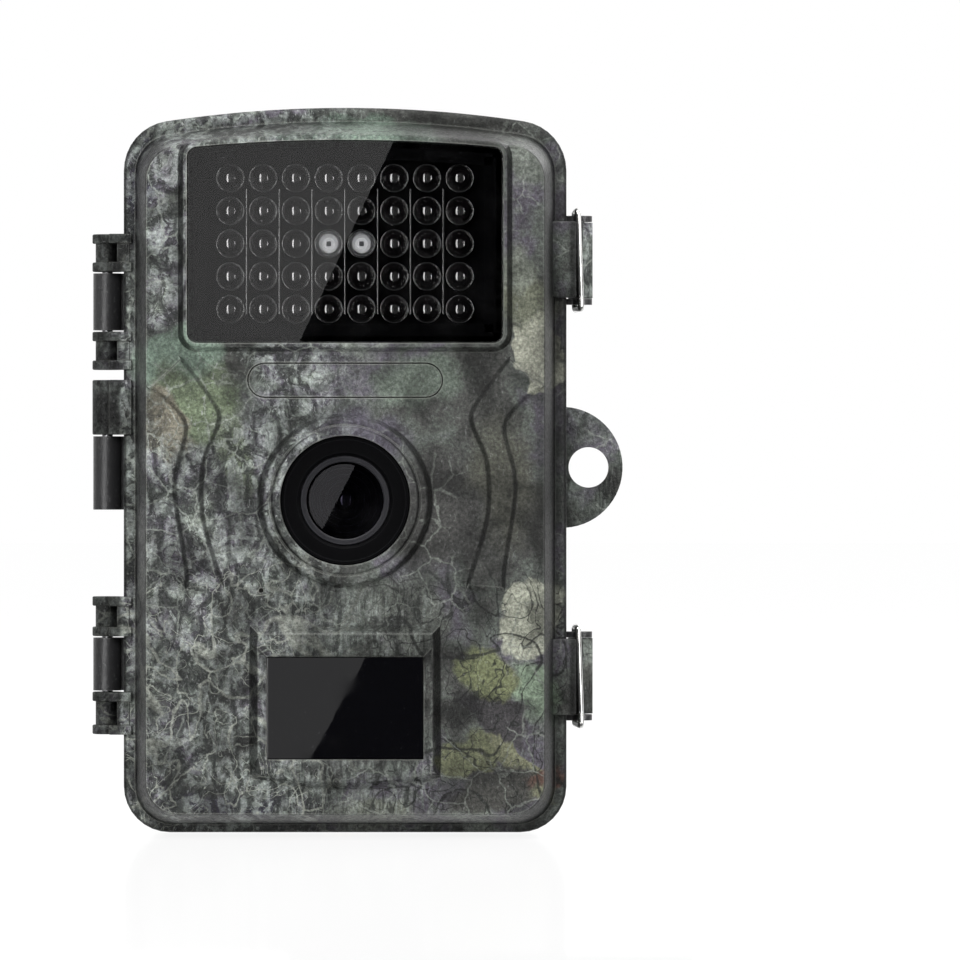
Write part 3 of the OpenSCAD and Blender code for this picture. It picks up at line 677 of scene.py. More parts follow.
def build_bail(name, z):
    """A sprung wire loop: its front bar leans a little, and its ends turn into the lever."""
    corners = [
        (BAIL_X, BAIL_Y, z + 1.5),
        (BAIL_X, BAIL_Y, z + BAIL_HALF),
        (CATCH_X - WIRE_LEAN, CATCH_Y, z + BAIL_HALF),
        (CATCH_X + WIRE_LEAN, CATCH_Y, z - BAIL_HALF),
        (BAIL_X, BAIL_Y, z - BAIL_HALF),
        (BAIL_X, BAIL_Y, z - 1.5),
    ]
    curve = bpy.data.curves.new(name, "CURVE")
    curve.dimensions = "3D"
    curve.bevel_depth = WIRE_R * MM
    curve.bevel_resolution = 5
    curve.use_fill_caps = True
    path = rounded_path(corners, 1.6)
    run = curve.splines.new("POLY")
    run.points.add(len(path) - 1)
    for point, p in zip(run.points, path):
        point.co = (*(p * MM), 1)
    obj = bpy.data.objects.new(name, curve)
    bpy.context.scene.collection.objects.link(obj)
    return obj


# ---- Materials ----


def srgb(r, g, b):
    """A linear colour from screen values of 0 to 255."""
    def linear(c):
        c /= 255
        return c / 12.92 if c <= 0.04045 else ((c + 0.055) / 1.055) ** 2.4
    return linear(r), linear(g), linear(b), 1.0


def grey(level):
    return level, level, level, 1.0


class Nodes:
    """A node tree under construction; most methods add a node and return its output socket."""

    def __init__(self, tree):
        self.tree = tree

    def node(self, kind, inputs=None, **settings):
        made = self.tree.nodes.new("ShaderNode" + kind)
        for key, value in settings.items():
            setattr(made, key, value)
        for key, value in (inputs or {}).items():
            self.feed(made.inputs[key], value)
        return made

    def feed(self, socket, value):
        if isinstance(value, bpy.types.NodeSocket):
            self.tree.links.new(value, socket)
        else:
            socket.default_value = value

    def scaled(self, place, scale, shift=(0, 0, 0), turn=0.0):
        mapping = {"Vector": place, "Location": shift, "Rotation": (0, math.radians(turn), 0), "Scale": scale}
        return self.node("Mapping", mapping, vector_type="POINT").outputs["Vector"]

    def noise(self, place, scale, detail=3.0, roughness=0.55, distortion=0.0):
        inputs = {"Vector": place, "Scale": scale, "Detail": detail, "Roughness": roughness}
        return self.node("TexNoise", {**inputs, "Distortion": distortion}).outputs["Fac"]

    def cracks(self, place, scale):
        """Distance to the nearest border of irregular cells."""
        inputs = {"Vector": place, "Scale": scale}
        return self.node("TexVoronoi", inputs, feature="DISTANCE_TO_EDGE").outputs["Distance"]

    def warped(self, place, scale, amount, detail=2.0):
        """The place pushed about by noise, by up to the amount."""
        noise = self.node("TexNoise", {"Vector": place, "Scale": scale, "Detail": detail})
        centred = self.vector("SUBTRACT", noise.outputs["Color"], (0.5, 0.5, 0.5))
        return self.vector("ADD", place, self.vector("MULTIPLY", centred, (amount, amount, amount)))

    def vector(self, operation, a, b):
        made = self.node("VectorMath", operation=operation)
        self.feed(made.inputs[0], a)
        self.feed(made.inputs[1], b)
        return made.outputs["Vector"]

    def dot(self, a, b):
        made = self.node("VectorMath", operation="DOT_PRODUCT")
        self.feed(made.inputs[0], a)
        self.feed(made.inputs[1], b)
        return made.outputs["Value"]

    def math(self, operation, a, b=0.0):
        made = self.node("Math", operation=operation)
        self.feed(made.inputs[0], a)
        self.feed(made.inputs[1], b)
        return made.outputs[0]

    def away(self, value, centre):
        """How far the value is from the centre."""
        return self.math("ABSOLUTE", self.math("SUBTRACT", value, centre))

    def both(self, *factors):
        """The product of one or more factors."""
        out = factors[0]
        for factor in factors[1:]:
            out = self.math("MULTIPLY", out, factor)
        return out

    def step(self, value, low, high, to_low=0.0, to_high=1.0):
        """A smooth change from to_low to to_high as the value goes from low to high."""
        inputs = {"Value": value, "From Min": low, "From Max": high, "To Min": to_low, "To Max": to_high}
        made = self.node("MapRange", inputs, interpolation_type="SMOOTHSTEP")
        return made.outputs["Result"]

    def axis(self, place, name):
        return self.node("SeparateXYZ", {"Vector": place}).outputs[name]

    def mix(self, factor, a, b, blend="MIX"):
        made = self.node("MixRGB", blend_type=blend)
        self.feed(made.inputs["Fac"], factor)
        self.feed(made.inputs["Color1"], a)
        self.feed(made.inputs["Color2"], b)
        return made.outputs["Color"]

    def ramp(self, value, *stops):
        made = self.node("ValToRGB", {"Fac": value})
        elements = made.color_ramp.elements
        while len(elements) < len(stops):
            elements.new(0.5)
        for element, (position, colour) in zip(elements, stops):
            element.position = position
            element.color = colour
        return made.outputs["Color"]

    def paint(self, colour, tint, *masks):
        """The tint, given in screen values, over the colour where all the masks are 1."""
        return self.mix(self.both(*masks), colour, srgb(*tint))

    def times(self, colour, other, share=1.0):
        return self.mix(share, colour, other, "MULTIPLY")

    def darker(self, colour, level, *masks):
        """The colour brought down to the level where all the masks are 1."""
        return self.mix(self.both(*masks), colour, self.times(colour, grey(level)))

    def layer(self, share, under, over):
        """One shader over another, which shows by the share."""
        made = self.node("MixShader", {"Fac": share})
        self.feed(made.inputs[1], under)
        self.feed(made.inputs[2], over)
        return made.outputs[0]

    def edges(self, radius=0.0005):
        """A mask of the edges: where the surface turns within the radius, in metres."""
        rounded = self.node("Bevel", {"Radius": radius}, samples=4).outputs["Normal"]
        flat = self.node("NewGeometry").outputs["Normal"]
        return self.step(self.dot(rounded, flat), 0.985, 0.90)

    def blob(self, place, x, z, half_x, half_z, turn, soft):
        """A patch: 1 inside a turned ellipse, 0 outside it."""
        centred = self.vector("SUBTRACT", place, (x, 0, z))
        a = math.radians(turn)
        along = self.dot(centred, (math.cos(a) / half_x, 0, math.sin(a) / half_x))
        across = self.dot(centred, (-math.sin(a) / half_z, 0, math.cos(a) / half_z))
        squares = [self.math("MULTIPLY", d, d) for d in (along, across)]
        return self.step(self.math("ADD", *squares), 1 + soft, 1 - soft)


class Look(Nodes):
    """A material under construction; mm is the place on the part in millimetres."""

    def __init__(self, name):
        self.material = bpy.data.materials.new(name)
        self.material.use_nodes = True
        super().__init__(self.material.node_tree)
        self.surface = self.tree.nodes["Principled BSDF"]
        self.output = self.tree.nodes["Material Output"]
        self.mm = self.scaled(self.node("TexCoord").outputs["Object"], (1000, 1000, 1000))

    def set(self, **values):
        """Sets inputs of the surface shader; underscores stand for spaces."""
        for key, value in values.items():
            self.feed(self.surface.inputs[key.replace("_", " ")], value)

    def bump(self, height, distance, strength=1.0):
        """Adds relief, in millimetres, to the surface."""
        inputs = {"Height": height, "Distance": distance * MM, "Strength": strength}
        self.set(Normal=self.node("Bump", inputs).outputs["Normal"])

    def show(self, shader):
        """Makes the shader the material's surface."""
        self.feed(self.output.inputs["Surface"], shader)


# Patches of the camouflage: x, z, half width, half height, turn, colour, softness.
PATCHES = [
    (-31.5, 87.5, 7.5, 5.5, 10, (150, 172, 155), 0.5),
    (-27.0, 79.5, 8.5, 7.0, -35, (112, 124, 100), 0.6),
    (-20.5, 70.0, 3.6, 7.5, 20, (104, 112, 96), 0.5),
    (-33.0, 76.0, 3.5, 6.5, 10, (126, 122, 108), 0.5),
    (36.0, 88.5, 5.0, 7.0, 12, (196, 198, 180), 0.10),
    (33.5, 99.5, 5.5, 6.0, 0, (126, 130, 112), 0.7),
    (32.5, 104.5, 4.0, 4.0, 0, (140, 146, 134), 0.6),
    (35.0, 123.5, 6.5, 3.0, -40, (122, 128, 120), 0.5),
    (34.5, 40.5, 6.0, 7.0, -25, (184, 187, 170), 0.15),
    (35.5, 27.0, 4.4, 5.5, 0, (142, 160, 138), 0.5),
    (26.5, 29.5, 6.0, 5.0, -35, (126, 132, 98), 0.35),
    (23.0, 15.5, 5.5, 3.6, 20, (122, 126, 98), 0.3),
    (32.0, 13.0, 2.6, 9.0, 38, (132, 134, 108), 0.3),
    (27.5, 22.0, 8.0, 3.2, -22, (74, 72, 74), 0.3),
    (27.5, 8.5, 8.0, 4.5, 10, (78, 78, 74), 0.4),
    (36.5, 10.5, 3.2, 1.8, 0, (104, 78, 68), 0.6),
    (-10.5, 18.5, 4.6, 5.0, 0, (92, 86, 106), 0.7),
    (-13.0, 26.0, 6.5, 7.0, 0, (88, 84, 92), 0.7),
    (-38.5, 119.0, 3.0, 9.5, -8, (58, 54, 74), 0.6),
    (0.0, 129.5, 14.0, 2.6, 0, (122, 140, 126), 0.6),
    (14.0, 84.0, 9.0, 4.6, 0, (106, 116, 106), 0.6),
    (3.0, 73.0, 9.0, 5.0, 0, (96, 92, 104), 0.7),
    (12.0, 40.0, 7.0, 7.5, 0, (104, 108, 102), 0.7),
    (16.5, 60.0, 8.0, 11.0, 0, (76, 76, 74), 0.6),
    (29.0, 66.0, 5.5, 12.0, 5, (86, 87, 78), 0.7),
    (-22.0, 5.0, 12.0, 2.2, 0, (62, 58, 74), 0.7),
    (6.0, 3.0, 9.0, 3.4, 0, (118, 122, 112), 0.4),
]

# The pale green patch, which the bark stays off: x, z, half width, half height, turn, softness.
CLEAN_PATCH = (-28, 84, 12, 10, -30, 0.5)


def camo(name, front=True, dark=0.55):
    """Printed woodland camouflage on coarse moulded plastic; on the front, pale edges that are partly a
    painted highlight, and painted shade.
    """
    look = Look(name)
    flat = look.scaled(look.mm, (1, 0.35, 1))
    x, z = look.axis(flat, "X"), look.axis(flat, "Z")
    colour = look.ramp(
        look.noise(look.warped(flat, 0.07, 13, 3), 0.055, 4, 0.6),
        (0.32, srgb(58, 60, 56)), (0.42, srgb(86, 87, 84)), (0.50, srgb(104, 110, 104)),
        (0.58, srgb(98, 93, 104)), (0.68, srgb(130, 137, 128)),
    )
    left = look.step(x, 8, -10) if front else look.step(look.noise(flat, 0.03, 1), 0.4, 0.6)
    where = left
    if front:
        close = look.warped(look.warped(flat, 0.10, 8.0, 1), 0.30, 5.0, 3)
        for px, pz, half_x, half_z, turn, tint, soft in PATCHES:
            colour = look.paint(colour, tint, look.blob(close, px, pz, half_x, half_z, turn, soft))
        where = look.both(left, look.math("SUBTRACT", 1.0, look.blob(close, *CLEAN_PATCH)))
    colour = bark(look, colour, flat, where)
    colour = streaks(look, colour, flat, x, z, front)
    colour = twigs(look, colour, flat, z, left)
    grain = look.noise(look.warped(look.mm, 2.0, 0.5), 1.5, 3, 0.75)
    colour = speckled(look, colour, flat, left, grain)
    colour = look.times(colour, grey(dark))
    if front:
        # Pale edges: partly wear, partly a painted highlight where the fillets catch the light.
        colour = look.paint(colour, (150, 152, 146), look.edges(), 0.45)
        # Painted shade and darker areas, from shaded().
        colour = shaded(look, colour, x, z)
    look.set(Base_Color=colour, Roughness=look.step(grain, 0.3, 0.7, 0.62, 0.42), Specular_IOR_Level=0.18)
    dots = look.noise(look.mm, 2.6, 1, 0.4)
    look.bump(look.math("ADD", grain, look.math("MULTIPLY", dots, 0.8)), 0.16, 0.8)
    return look.material


def bark(look, colour, flat, where):
    """Pale curled flakes with dark outlines, over plates with dark cracks between them."""
    curls = look.noise(look.warped(flat, 0.25, 4.0, 3), 0.24, 4, 0.62, 1.8)
    outline = look.both(look.step(curls, 0.53, 0.50), look.step(curls, 0.44, 0.485), 0.8)
    colour = look.paint(colour, (40, 43, 41), where, outline)
    colour = look.paint(colour, (168, 177, 170), where, look.step(curls, 0.535, 0.57), 0.55)
    plates = look.cracks(look.warped(look.scaled(flat, (1, 1, 0.6)), 0.35, 3.0, 3), 0.20)
    colour = look.paint(colour, (42, 44, 44), where, look.step(plates, 0.12, 0.03), 0.75)
    lit = look.both(look.step(plates, 0.12, 0.17), look.step(plates, 0.32, 0.20), 0.45)
    return look.paint(colour, (160, 166, 164), where, lit)


def speckled(look, colour, flat, left, grain):
    """Pale flakes, most of them on the left, then broad tones and the grain of the plastic."""
    slanted = look.scaled(look.mm, (1, 1, 0.45), turn=28)
    flakes = look.step(look.noise(slanted, 2.2, 2, 0.6, 0.8), 0.60, 0.72)
    colour = look.paint(colour, (164, 166, 166), flakes, look.step(left, 0, 1, 0.30, 0.62))
    tone = look.noise(look.warped(flat, 0.12, 6, 3), 0.11, 3, 0.6)
    tones = look.ramp(tone, (0.38, grey(0.45)), (0.50, grey(1.0)), (0.62, grey(1.45)))
    salt = look.ramp(grain, (0.34, grey(0.42)), (0.5, grey(0.95)), (0.66, grey(1.7)))
    return look.times(look.times(colour, tones), salt, 0.85)


def shaded(look, colour, x, z):
    """Darker to the right of and below the lens and on the lugs and catches; painted shade beside the right
    wall, on steep side-facing walls and in the recesses.
    """
    right_of_lens = look.both(look.step(x, 6, 14), look.step(z, 34, 42))
    colour = look.darker(colour, 0.66, right_of_lens)
    colour = look.darker(colour, 0.66, look.step(x, -12, 0), look.step(z, 42, 34))
    colour = look.darker(colour, 0.92, look.step(x, 0, -12), look.step(z, 42, 34))
    # Painted shade: a dark band beside the right wall.
    colour = look.darker(colour, 0.55, look.step(x, 33.5, 36.5), look.step(z, 104, 100), look.step(z, 44, 50))
    aside = look.away(x, 0.0)
    colour = look.darker(colour, 0.24, look.step(aside, 41.4, 42.2))
    # Painted shade: walls that face sideways are darkened.
    lean = look.away(look.axis(look.node("TexCoord").outputs["Normal"], "X"), 0.0)
    colour = look.darker(colour, 0.28, look.step(lean, 0.2, 0.6), look.step(aside, 42, 41))
    # Painted shade: darker in the recesses, by ambient occlusion.
    recess = look.node("AmbientOcclusion", {"Distance": 0.004}, samples=6).outputs["AO"]
    return look.darker(colour, 0.35, look.step(recess, 0.85, 0.35))


def streaks(look, colour, flat, x, z, front):
    """Upright bark, which the front has below the lens and along the top."""
    upright = look.warped(look.scaled(flat, (1, 1, 0.16)), 0.5, 1.1, 2)
    lines = look.noise(upright, 0.85, 4, 0.65, 0.7)
    if front:
        below = look.both(look.step(z, 47, 43), look.step(look.away(x, 2.0), 17, 12))
        top = look.both(look.step(z, 127, 130), look.step(look.away(x, -1.0), 14, 6), 0.7)
        where = look.math("MAXIMUM", below, top)
    else:
        where = look.step(look.noise(flat, 0.04, 1), 0.54, 0.6)
    colour = look.paint(colour, (150, 158, 152), where, look.step(lines, 0.53, 0.62), 0.55)
    return look.paint(colour, (46, 49, 47), where, look.step(lines, 0.47, 0.40), 0.7)


def twigs(look, colour, flat, z, left):
    """Thin branching lines, pale on the left and dark on the right, then a few fine pale cracks."""
    low = look.step(z, 60, 40)
    right = look.math("SUBTRACT", 1.0, left)
    for scale, shift, width in ((0.055, 0, 0.018), (0.10, 40, 0.012), (0.16, 80, 0.009)):
        place = look.warped(look.scaled(flat, (1, 1, 1), (shift, 0, 0)), 0.6, 0.8, 2)
        off_line = look.away(look.noise(place, scale, 1.5, 0.5, 1.2), 0.5)
        thin = look.step(off_line, width, width * 0.3)
        colour = look.paint(colour, (38, 40, 38), thin, right, low, 0.85)
        colour = look.paint(colour, (166, 170, 160), thin, left, low, 0.7)
    cell = look.cracks(look.warped(flat, 0.5, 1.6, 2), 0.16)
    some = look.step(look.noise(flat, 0.05, 1), 0.5, 0.56)
    return look.paint(colour, (156, 162, 154), look.step(cell, 0.035, 0.01), some, 0.5)


def dimmed(colour, share):
    """A colour in screen values made linear, and brought down to the share."""
    return tuple(c * share for c in srgb(*colour)[:3]) + (1,)


def plastic(name, colour, rough=0.5, grain_mm=0.5, relief=0.05, wear_and_highlight=(120, 120, 118), speckle=0.0, gloss=0.3):
    """Moulded plastic with a fine grain, faint mottling and pale edges, partly rubbed wear and partly a
    painted highlight.
    """
    look = Look(name)
    grain = look.noise(look.mm, 1 / grain_mm, 3, 0.7)
    mottle = look.noise(look.mm, 0.08, 3)
    base = look.ramp(mottle, (0.3, dimmed(colour, 0.85)), (0.7, srgb(*colour)))
    base = look.paint(base, wear_and_highlight, look.step(grain, 0.62, 0.72), speckle)
    # Pale edges: partly rubbed wear, partly a painted highlight.
    base = look.paint(base, wear_and_highlight, look.edges(0.0003), 0.35)
    look.set(Base_Color=base, Roughness=look.step(grain, 0.3, 0.7, rough - 0.08, rough + 0.1),
             Specular_IOR_Level=gloss)
    look.bump(grain, relief)
    return look.material


def metal(name, colour, rough=0.25, brushed=(1, 1, 1), relief=0.01):
    """Metal with drawn or brushed marks."""
    look = Look(name)
    marks = look.noise(look.scaled(look.mm, brushed), 2.2, 4, 0.7)
    look.set(Base_Color=look.ramp(marks, (0.35, dimmed(colour, 0.82)), (0.6, srgb(*colour))), Metallic=1.0,
             Roughness=look.step(marks, 0.3, 0.7, rough * 0.7, rough * 1.4))
    look.bump(marks, relief)
    return look.material


def glass(name, tint, gloss=0.0, film=0.006):
    """Thin tinted glass: a see-through layer under a Fresnel gloss, with a faint smudged film."""
    look = Look(name)
    marks = look.noise(look.warped(look.mm, 0.05, 12), 0.16, 4, 0.65)
    clear = look.node("BsdfTransparent", {"Color": (*tint, 1)}).outputs[0]
    shine = look.node("BsdfGlossy", {"Roughness": gloss}).outputs[0]
    dust = look.node("BsdfDiffuse", {"Color": srgb(150, 150, 152)}).outputs[0]
    glossy = look.layer(look.node("Fresnel", {"IOR": 1.5}).outputs["Fac"], clear, shine)
    look.show(look.layer(look.step(marks, 0.45, 0.75, 0.0, film), glossy, dust))
    look.tree.nodes.remove(look.surface)
    return look.material


def gloss_black(name, rough=0.01):
    """Polished dark acrylic with faint dust."""
    look = Look(name)
    dust = look.noise(look.mm, 1.4, 2, 0.7)
    haze = look.noise(look.warped(look.mm, 0.05, 10), 0.12, 3)
    colour = look.paint(srgb(7, 7, 9), (60, 60, 62), look.step(dust, 0.70, 0.76), 0.3)
    look.set(Base_Color=colour, Roughness=look.step(haze, 0.4, 0.7, rough, rough + 0.04))
    look.bump(haze, 0.004, 0.4)
    return look.material


def resin(name, colour, rough=0.04):
    """Dark, highly polished cast resin with a faint swirl."""
    look = Look(name)
    swirl = look.noise(look.mm, 0.5, 3)
    look.set(Base_Color=look.ramp(swirl, (0.3, grey(0.002)), (0.7, srgb(*colour))), IOR=2.3)
    look.set(Roughness=look.step(swirl, 0.3, 0.7, rough, rough + 0.03))
    look.bump(swirl, 0.003)
    return look.material


def circuit(name):
    """A circuit board: solder mask over copper tracks, with pale pads."""
    look = Look(name)
    tracks = look.node("TexBrick", {
        "Vector": look.mm, "Scale": 0.35, "Mortar Size": 0.03,
        "Color1": srgb(22, 84, 52), "Color2": srgb(28, 98, 60), "Mortar": srgb(60, 128, 76)})
    pads = look.step(look.cracks(look.mm, 0.5), 0.42, 0.47)
    look.set(Base_Color=look.paint(tracks.outputs["Color"], (196, 190, 150), pads, 0.8), Roughness=0.35)
    look.bump(look.noise(look.mm, 0.8, 3), 0.03)
    return look.material


CELL_GAP = 5.6


def battery_jacket(name):
    """Shrink-wrapped cells: a dark body under a coppery shoulder at each positive end."""
    look = Look(name)
    low, high = node_box("batteries")
    pitch = (high[2] - low[2] + CELL_GAP) / 2
    along = look.math("MODULO", look.math("SUBTRACT", look.axis(look.mm, "Z"), low[2]), pitch)
    tint = look.noise(look.mm, 0.6, 3)
    dark = look.ramp(tint, (0.3, srgb(22, 23, 25)), (0.7, srgb(34, 35, 38)))
    copper = look.ramp(tint, (0.3, srgb(176, 118, 62)), (0.7, srgb(204, 146, 86)))
    shoulder = look.step(along, 35.5, 35.9)
    look.set(Base_Color=look.mix(shoulder, dark, copper), Metallic=look.both(shoulder, 0.7), Roughness=0.32)
    look.bump(tint, 0.03)
    return look.material


def screen_glass(name):
    """A switched-off display: near-black glass over a faint pixel grid."""
    look = Look(name)
    grid = look.node("TexBrick", {
        "Vector": look.mm, "Scale": 2.2, "Mortar Size": 0.05,
        "Color1": srgb(16, 20, 24), "Color2": srgb(18, 22, 27), "Mortar": srgb(10, 12, 15)})
    smudge = look.noise(look.warped(look.mm, 0.06, 14), 0.1, 4)
    look.set(Base_Color=grid.outputs["Color"], Roughness=look.step(smudge, 0.45, 0.7, 0.12, 0.25),
             Specular_IOR_Level=0.2, Coat_Weight=0.15, Coat_Roughness=0.05)
    return look.material


# ---- The pieces, their bodies, looks and the CAD nodes that they stand for ----

LOOKS = {
    "camo_front": camo("camo_front"),
    "camo_rear": camo("camo_rear", front=False),
    "camo_lever": camo("camo_lever", front=False, dark=1.0),
    "black_plastic": plastic("black_plastic", (30, 30, 31), 0.36, 0.45, 0.07, (118, 118, 118), 0.35, 0.5),
    "dark_window": glass("dark_window", (0.86, 0.86, 0.86)),
    "ring_black": plastic("ring_black", (4, 4, 5), 0.5, 0.6, 0.006, (34, 34, 36), gloss=0.03),
    "ir_resin": resin("ir_resin", (14, 11, 13)),
    "clear_resin": glass("clear_resin", (0.97, 0.97, 0.97), 0.02),
    "gloss_black": gloss_black("gloss_black"),
    "dark_metal": metal("dark_metal", (70, 69, 72), 0.32, (1, 1, 1), 0.01),
    "lens_glass": glass("lens_glass", (0.62, 0.61, 0.68)),
    "filter_glass": glass("filter_glass", (0.62, 0.42, 0.45)),
    "card_plastic": plastic("card_plastic", (26, 34, 48), 0.45, 0.4, 0.03, (90, 100, 116)),
    "board": circuit("board"),
    "screen": screen_glass("screen"),
    "button_rubber": plastic("button_rubber", (58, 59, 61), 0.68, 0.6, 0.06, (110, 110, 112), 0.2),
    "switch_plastic": plastic("switch_plastic", (176, 176, 172), 0.5, 0.5, 0.04, (210, 210, 206)),
    "seal_rubber": plastic("seal_rubber", (44, 45, 47), 0.75, 0.8, 0.04, (84, 84, 86)),
    "nickel": metal("nickel", (150, 149, 145), 0.5, (1, 1, 6)),
    "gold": metal("gold", (212, 172, 92), 0.25),
    "brass_insert": metal("brass_insert", (190, 152, 86), 0.34, (1, 1, 8), 0.02),
    "battery_jacket": battery_jacket("battery_jacket"),
    "screw_steel": metal("screw_steel", (150, 150, 152), 0.30, (3, 1, 3), 0.02),
    "chrome_wire": metal("chrome_wire", (226, 226, 224), 0.10, (2, 2, 0.2), 0.004),
    "rib_plastic": resin("rib_plastic", (30, 30, 31)),
    "rim_resin": resin("rim_resin", (30, 30, 31), 0.16),
    "cup_silver": plastic("cup_silver", (240, 241, 243), 0.25, 0.4, 0.02, (255, 255, 255), 0.3, 0.5),
    "chip": plastic("chip", (70, 72, 74), 0.4, 0.3, 0.01, (150, 150, 150)),
    "barrel_black": plastic("barrel_black", (30, 30, 33), 0.38, 0.6, 0.01, (70, 70, 74), gloss=0.15),
}


def place(piece, body, look, slot, *nodes):
    """Gives a piece its look and its body, and hides the CAD nodes that it stands for."""
    piece.data.materials.append(LOOKS[look])
    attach(piece, body)
    if nodes:
        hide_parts(*nodes)


place(build_front_shell(), FRONT, "camo_front", "camo_front", "front_shell")
place(build_front_fittings(), FRONT, "camo_front", "camo_front", "front_shell")
place(build_diodes(False, "ir_diode_domes"), FRONT, "ir_resin", "ir_resin", "ir_leds")
place(build_diodes(True, "clear_diode_domes"), FRONT, "clear_resin", "clear_resin", "clear_leds")
place(build_reflector_cups(), FRONT, "cup_silver", "nickel", "clear_leds")
place(build_chips(), FRONT, "chip", "nickel", "clear_leds")
place(build_holder_ribs(), FRONT, "rib_plastic", "black_plastic")
place(build_diode_rims(), FRONT, "rim_resin", "ir_resin")
place(build_window_mask(), FRONT, "ring_black", "dark_window")
place(build_lens_ring(), FRONT, "ring_black", "gloss_black", "lens_ring")
place(build_lens_barrel(), FRONT, "barrel_black", "dark_metal", "lens_barrel")
place(build_lens_baffles(), FRONT, "ring_black", "dark_metal", "lens_barrel")
place(build_cover_glass(), FRONT, "lens_glass", "lens_glass", "lens_front_element")
place(build_inner_lens(), FRONT, "gloss_black", "lens_glass")
for bail_name, bail_z in zip(("upper", "lower"), LATCH_ZS):
    wire = build_bail(f"latch_wire_{bail_name}", bail_z)
    place(wire, f"bail_{bail_name}", "chrome_wire", "chrome_wire", f"latch_bail_{bail_name}")


def soften(node, width):
    """Rounds the edges of a CAD node by modifiers, which leave its mesh as it is."""
    obj = frame["nodes"][node]
    weld = obj.modifiers.new("weld", "WELD")
    weld.merge_threshold = 0.01 * MM
    bevel = obj.modifiers.new("bevel", "BEVEL")
    bevel.width = width * MM
    bevel.segments = 3
    bevel.limit_method = "ANGLE"
    bevel.angle_limit = math.radians(35)
    normals = obj.modifiers.new("normals", "WEIGHTED_NORMAL")
    normals.keep_sharp = True


# A node has the look that its material slot names, apart from four.
SLOT_LOOKS = {item["node"]: item["material_slot"] for item in frame["record"]["subparts"]}
SLOT_LOOKS.update(pir_window="gloss_black", led_holder="ring_black", latch_lever_upper="camo_lever",
                  latch_lever_lower="camo_lever")
for node, obj in frame["nodes"].items():
    obj.data.materials.clear()
    obj.data.materials.append(LOOKS[SLOT_LOOKS[node]])

# CAD nodes by the width, in millimetres, that their edges are rounded by.
KEYS = ("up", "down", "left", "right", "ok", "menu")
SOFT_EDGES = {
    0.5: ("rear_shell", "tree_bracket", "batteries"),
    0.4: [f"button_{key}" for key in KEYS],
    0.3: ("latch_lever_upper", "latch_lever_lower", "dc_plug"),
    0.25: ("mid_frame", "inner_panel"),
    0.2: ("sd_card", "bracket_screws", "tripod_insert"),
    0.15: ("mode_switch", "panel_screws", "frame_screws"),
    0.12: ("nameplate",),
    0.1: ("pir_window", "led_window", "lcd_screen"),
}
for width, nodes in SOFT_EDGES.items():
    for node in nodes:
        soften(node, width)

# ---- Studio ----

camera = bpy.data.objects.new("camera", bpy.data.cameras.new("camera"))
bpy.context.scene.collection.objects.link(camera)
bpy.context.scene.camera = camera
CAMERA_AWAY = 1.5
camera.location = (0, RIM_Y * MM - CAMERA_AWAY, CASE_H / 2 * MM)
camera.rotation_euler = (math.radians(90), 0, 0)
camera.data.lens = 302
camera.data.shift_x = 0.1405
camera.data.shift_y = -0.0104
bpy.context.scene.view_settings.view_transform = "Standard"


def stage_plane(name, corners, material):
    """A flat staged surface through points in metres."""
    mesh = bpy.data.meshes.new(name)
    mesh.from_pydata(corners, [], [list(range(len(corners)))])
    obj = bpy.data.objects.new(name, mesh)
    bpy.context.scene.collection.objects.link(obj)
    mesh.materials.append(material)
    return obj


def floor_material():
    """A pale tabletop with a faint soft reflection."""
    look = Look("floor")
    look.set(Base_Color=grey(0.10), Roughness=0.9, Specular_IOR_Level=0.0)
    look.set(Emission_Color=grey(1.0), Emission_Strength=1.0)
    shine = look.node("BsdfGlossy", {"Roughness": 0.10, "Color": grey(1.0)}).outputs[0]
    look.show(look.layer(0.15, look.surface.outputs[0], shine))
    return look.material


FLOOR_HALF = 6.0
FLOOR_Z = -0.0006
floor_corners = [(x * FLOOR_HALF, y * FLOOR_HALF, FLOOR_Z) for x, y in ((-1, -1), (1, -1), (1, 1), (-1, 1))]
stage_plane("floor", floor_corners, floor_material()).visible_glossy = False


def behind_camera(x, z, window_y, card_y):
    """The point at card_y that the camera sees mirrored at the point x, z of a window at window_y."""
    reach = (window_y - card_y / MM) / (window_y - camera.location.y / MM)
    eye_x, eye_z = camera.location.x / MM, camera.location.z / MM
    return (x + (x - eye_x) * reach) * MM, card_y, (z + (z - eye_z) * reach) * MM


def card(name, corners, level):
    """A card that only reflections show: it glows at the level, or is black at 0."""
    look = Look(name)
    look.set(Base_Color=grey(0.0), Roughness=1.0, Specular_IOR_Level=0.0)
    look.set(Emission_Color=grey(1.0), Emission_Strength=level)
    obj = stage_plane(name, corners, look.material)
    for ray in ("camera", "diffuse", "shadow", "transmission"):
        setattr(obj, f"visible_{ray}", False)


CARD_HALF = 0.05
CARD_Y = -0.36


def window_cards():
    """A grey card beside a black one: their stepped edge crosses each window's reflection."""
    # Each window's front, and the upper and lower end of the edge's reflection in it.
    splits = [(window_low[1], (9.6, 129.5), (-9.2, 89.5)), (barrel_low[1], (3.4, 71.3), (-6.9, 51.3)),
              (sensor_low[1], (4.4, 34), (-7.2, 12.8))]
    edge = [behind_camera(x, z, window_y, CARD_Y) for window_y, top, low in splits for x, z in (top, low)]
    top_z, low_z = edge[0][2], edge[-1][2]
    card("grey_card", edge + [(-CARD_HALF, CARD_Y, low_z), (-CARD_HALF, CARD_Y, top_z)], 0.7)
    card("black_card", edge + [(CARD_HALF, CARD_Y, low_z), (CARD_HALF, CARD_Y, top_z)], 0.0)


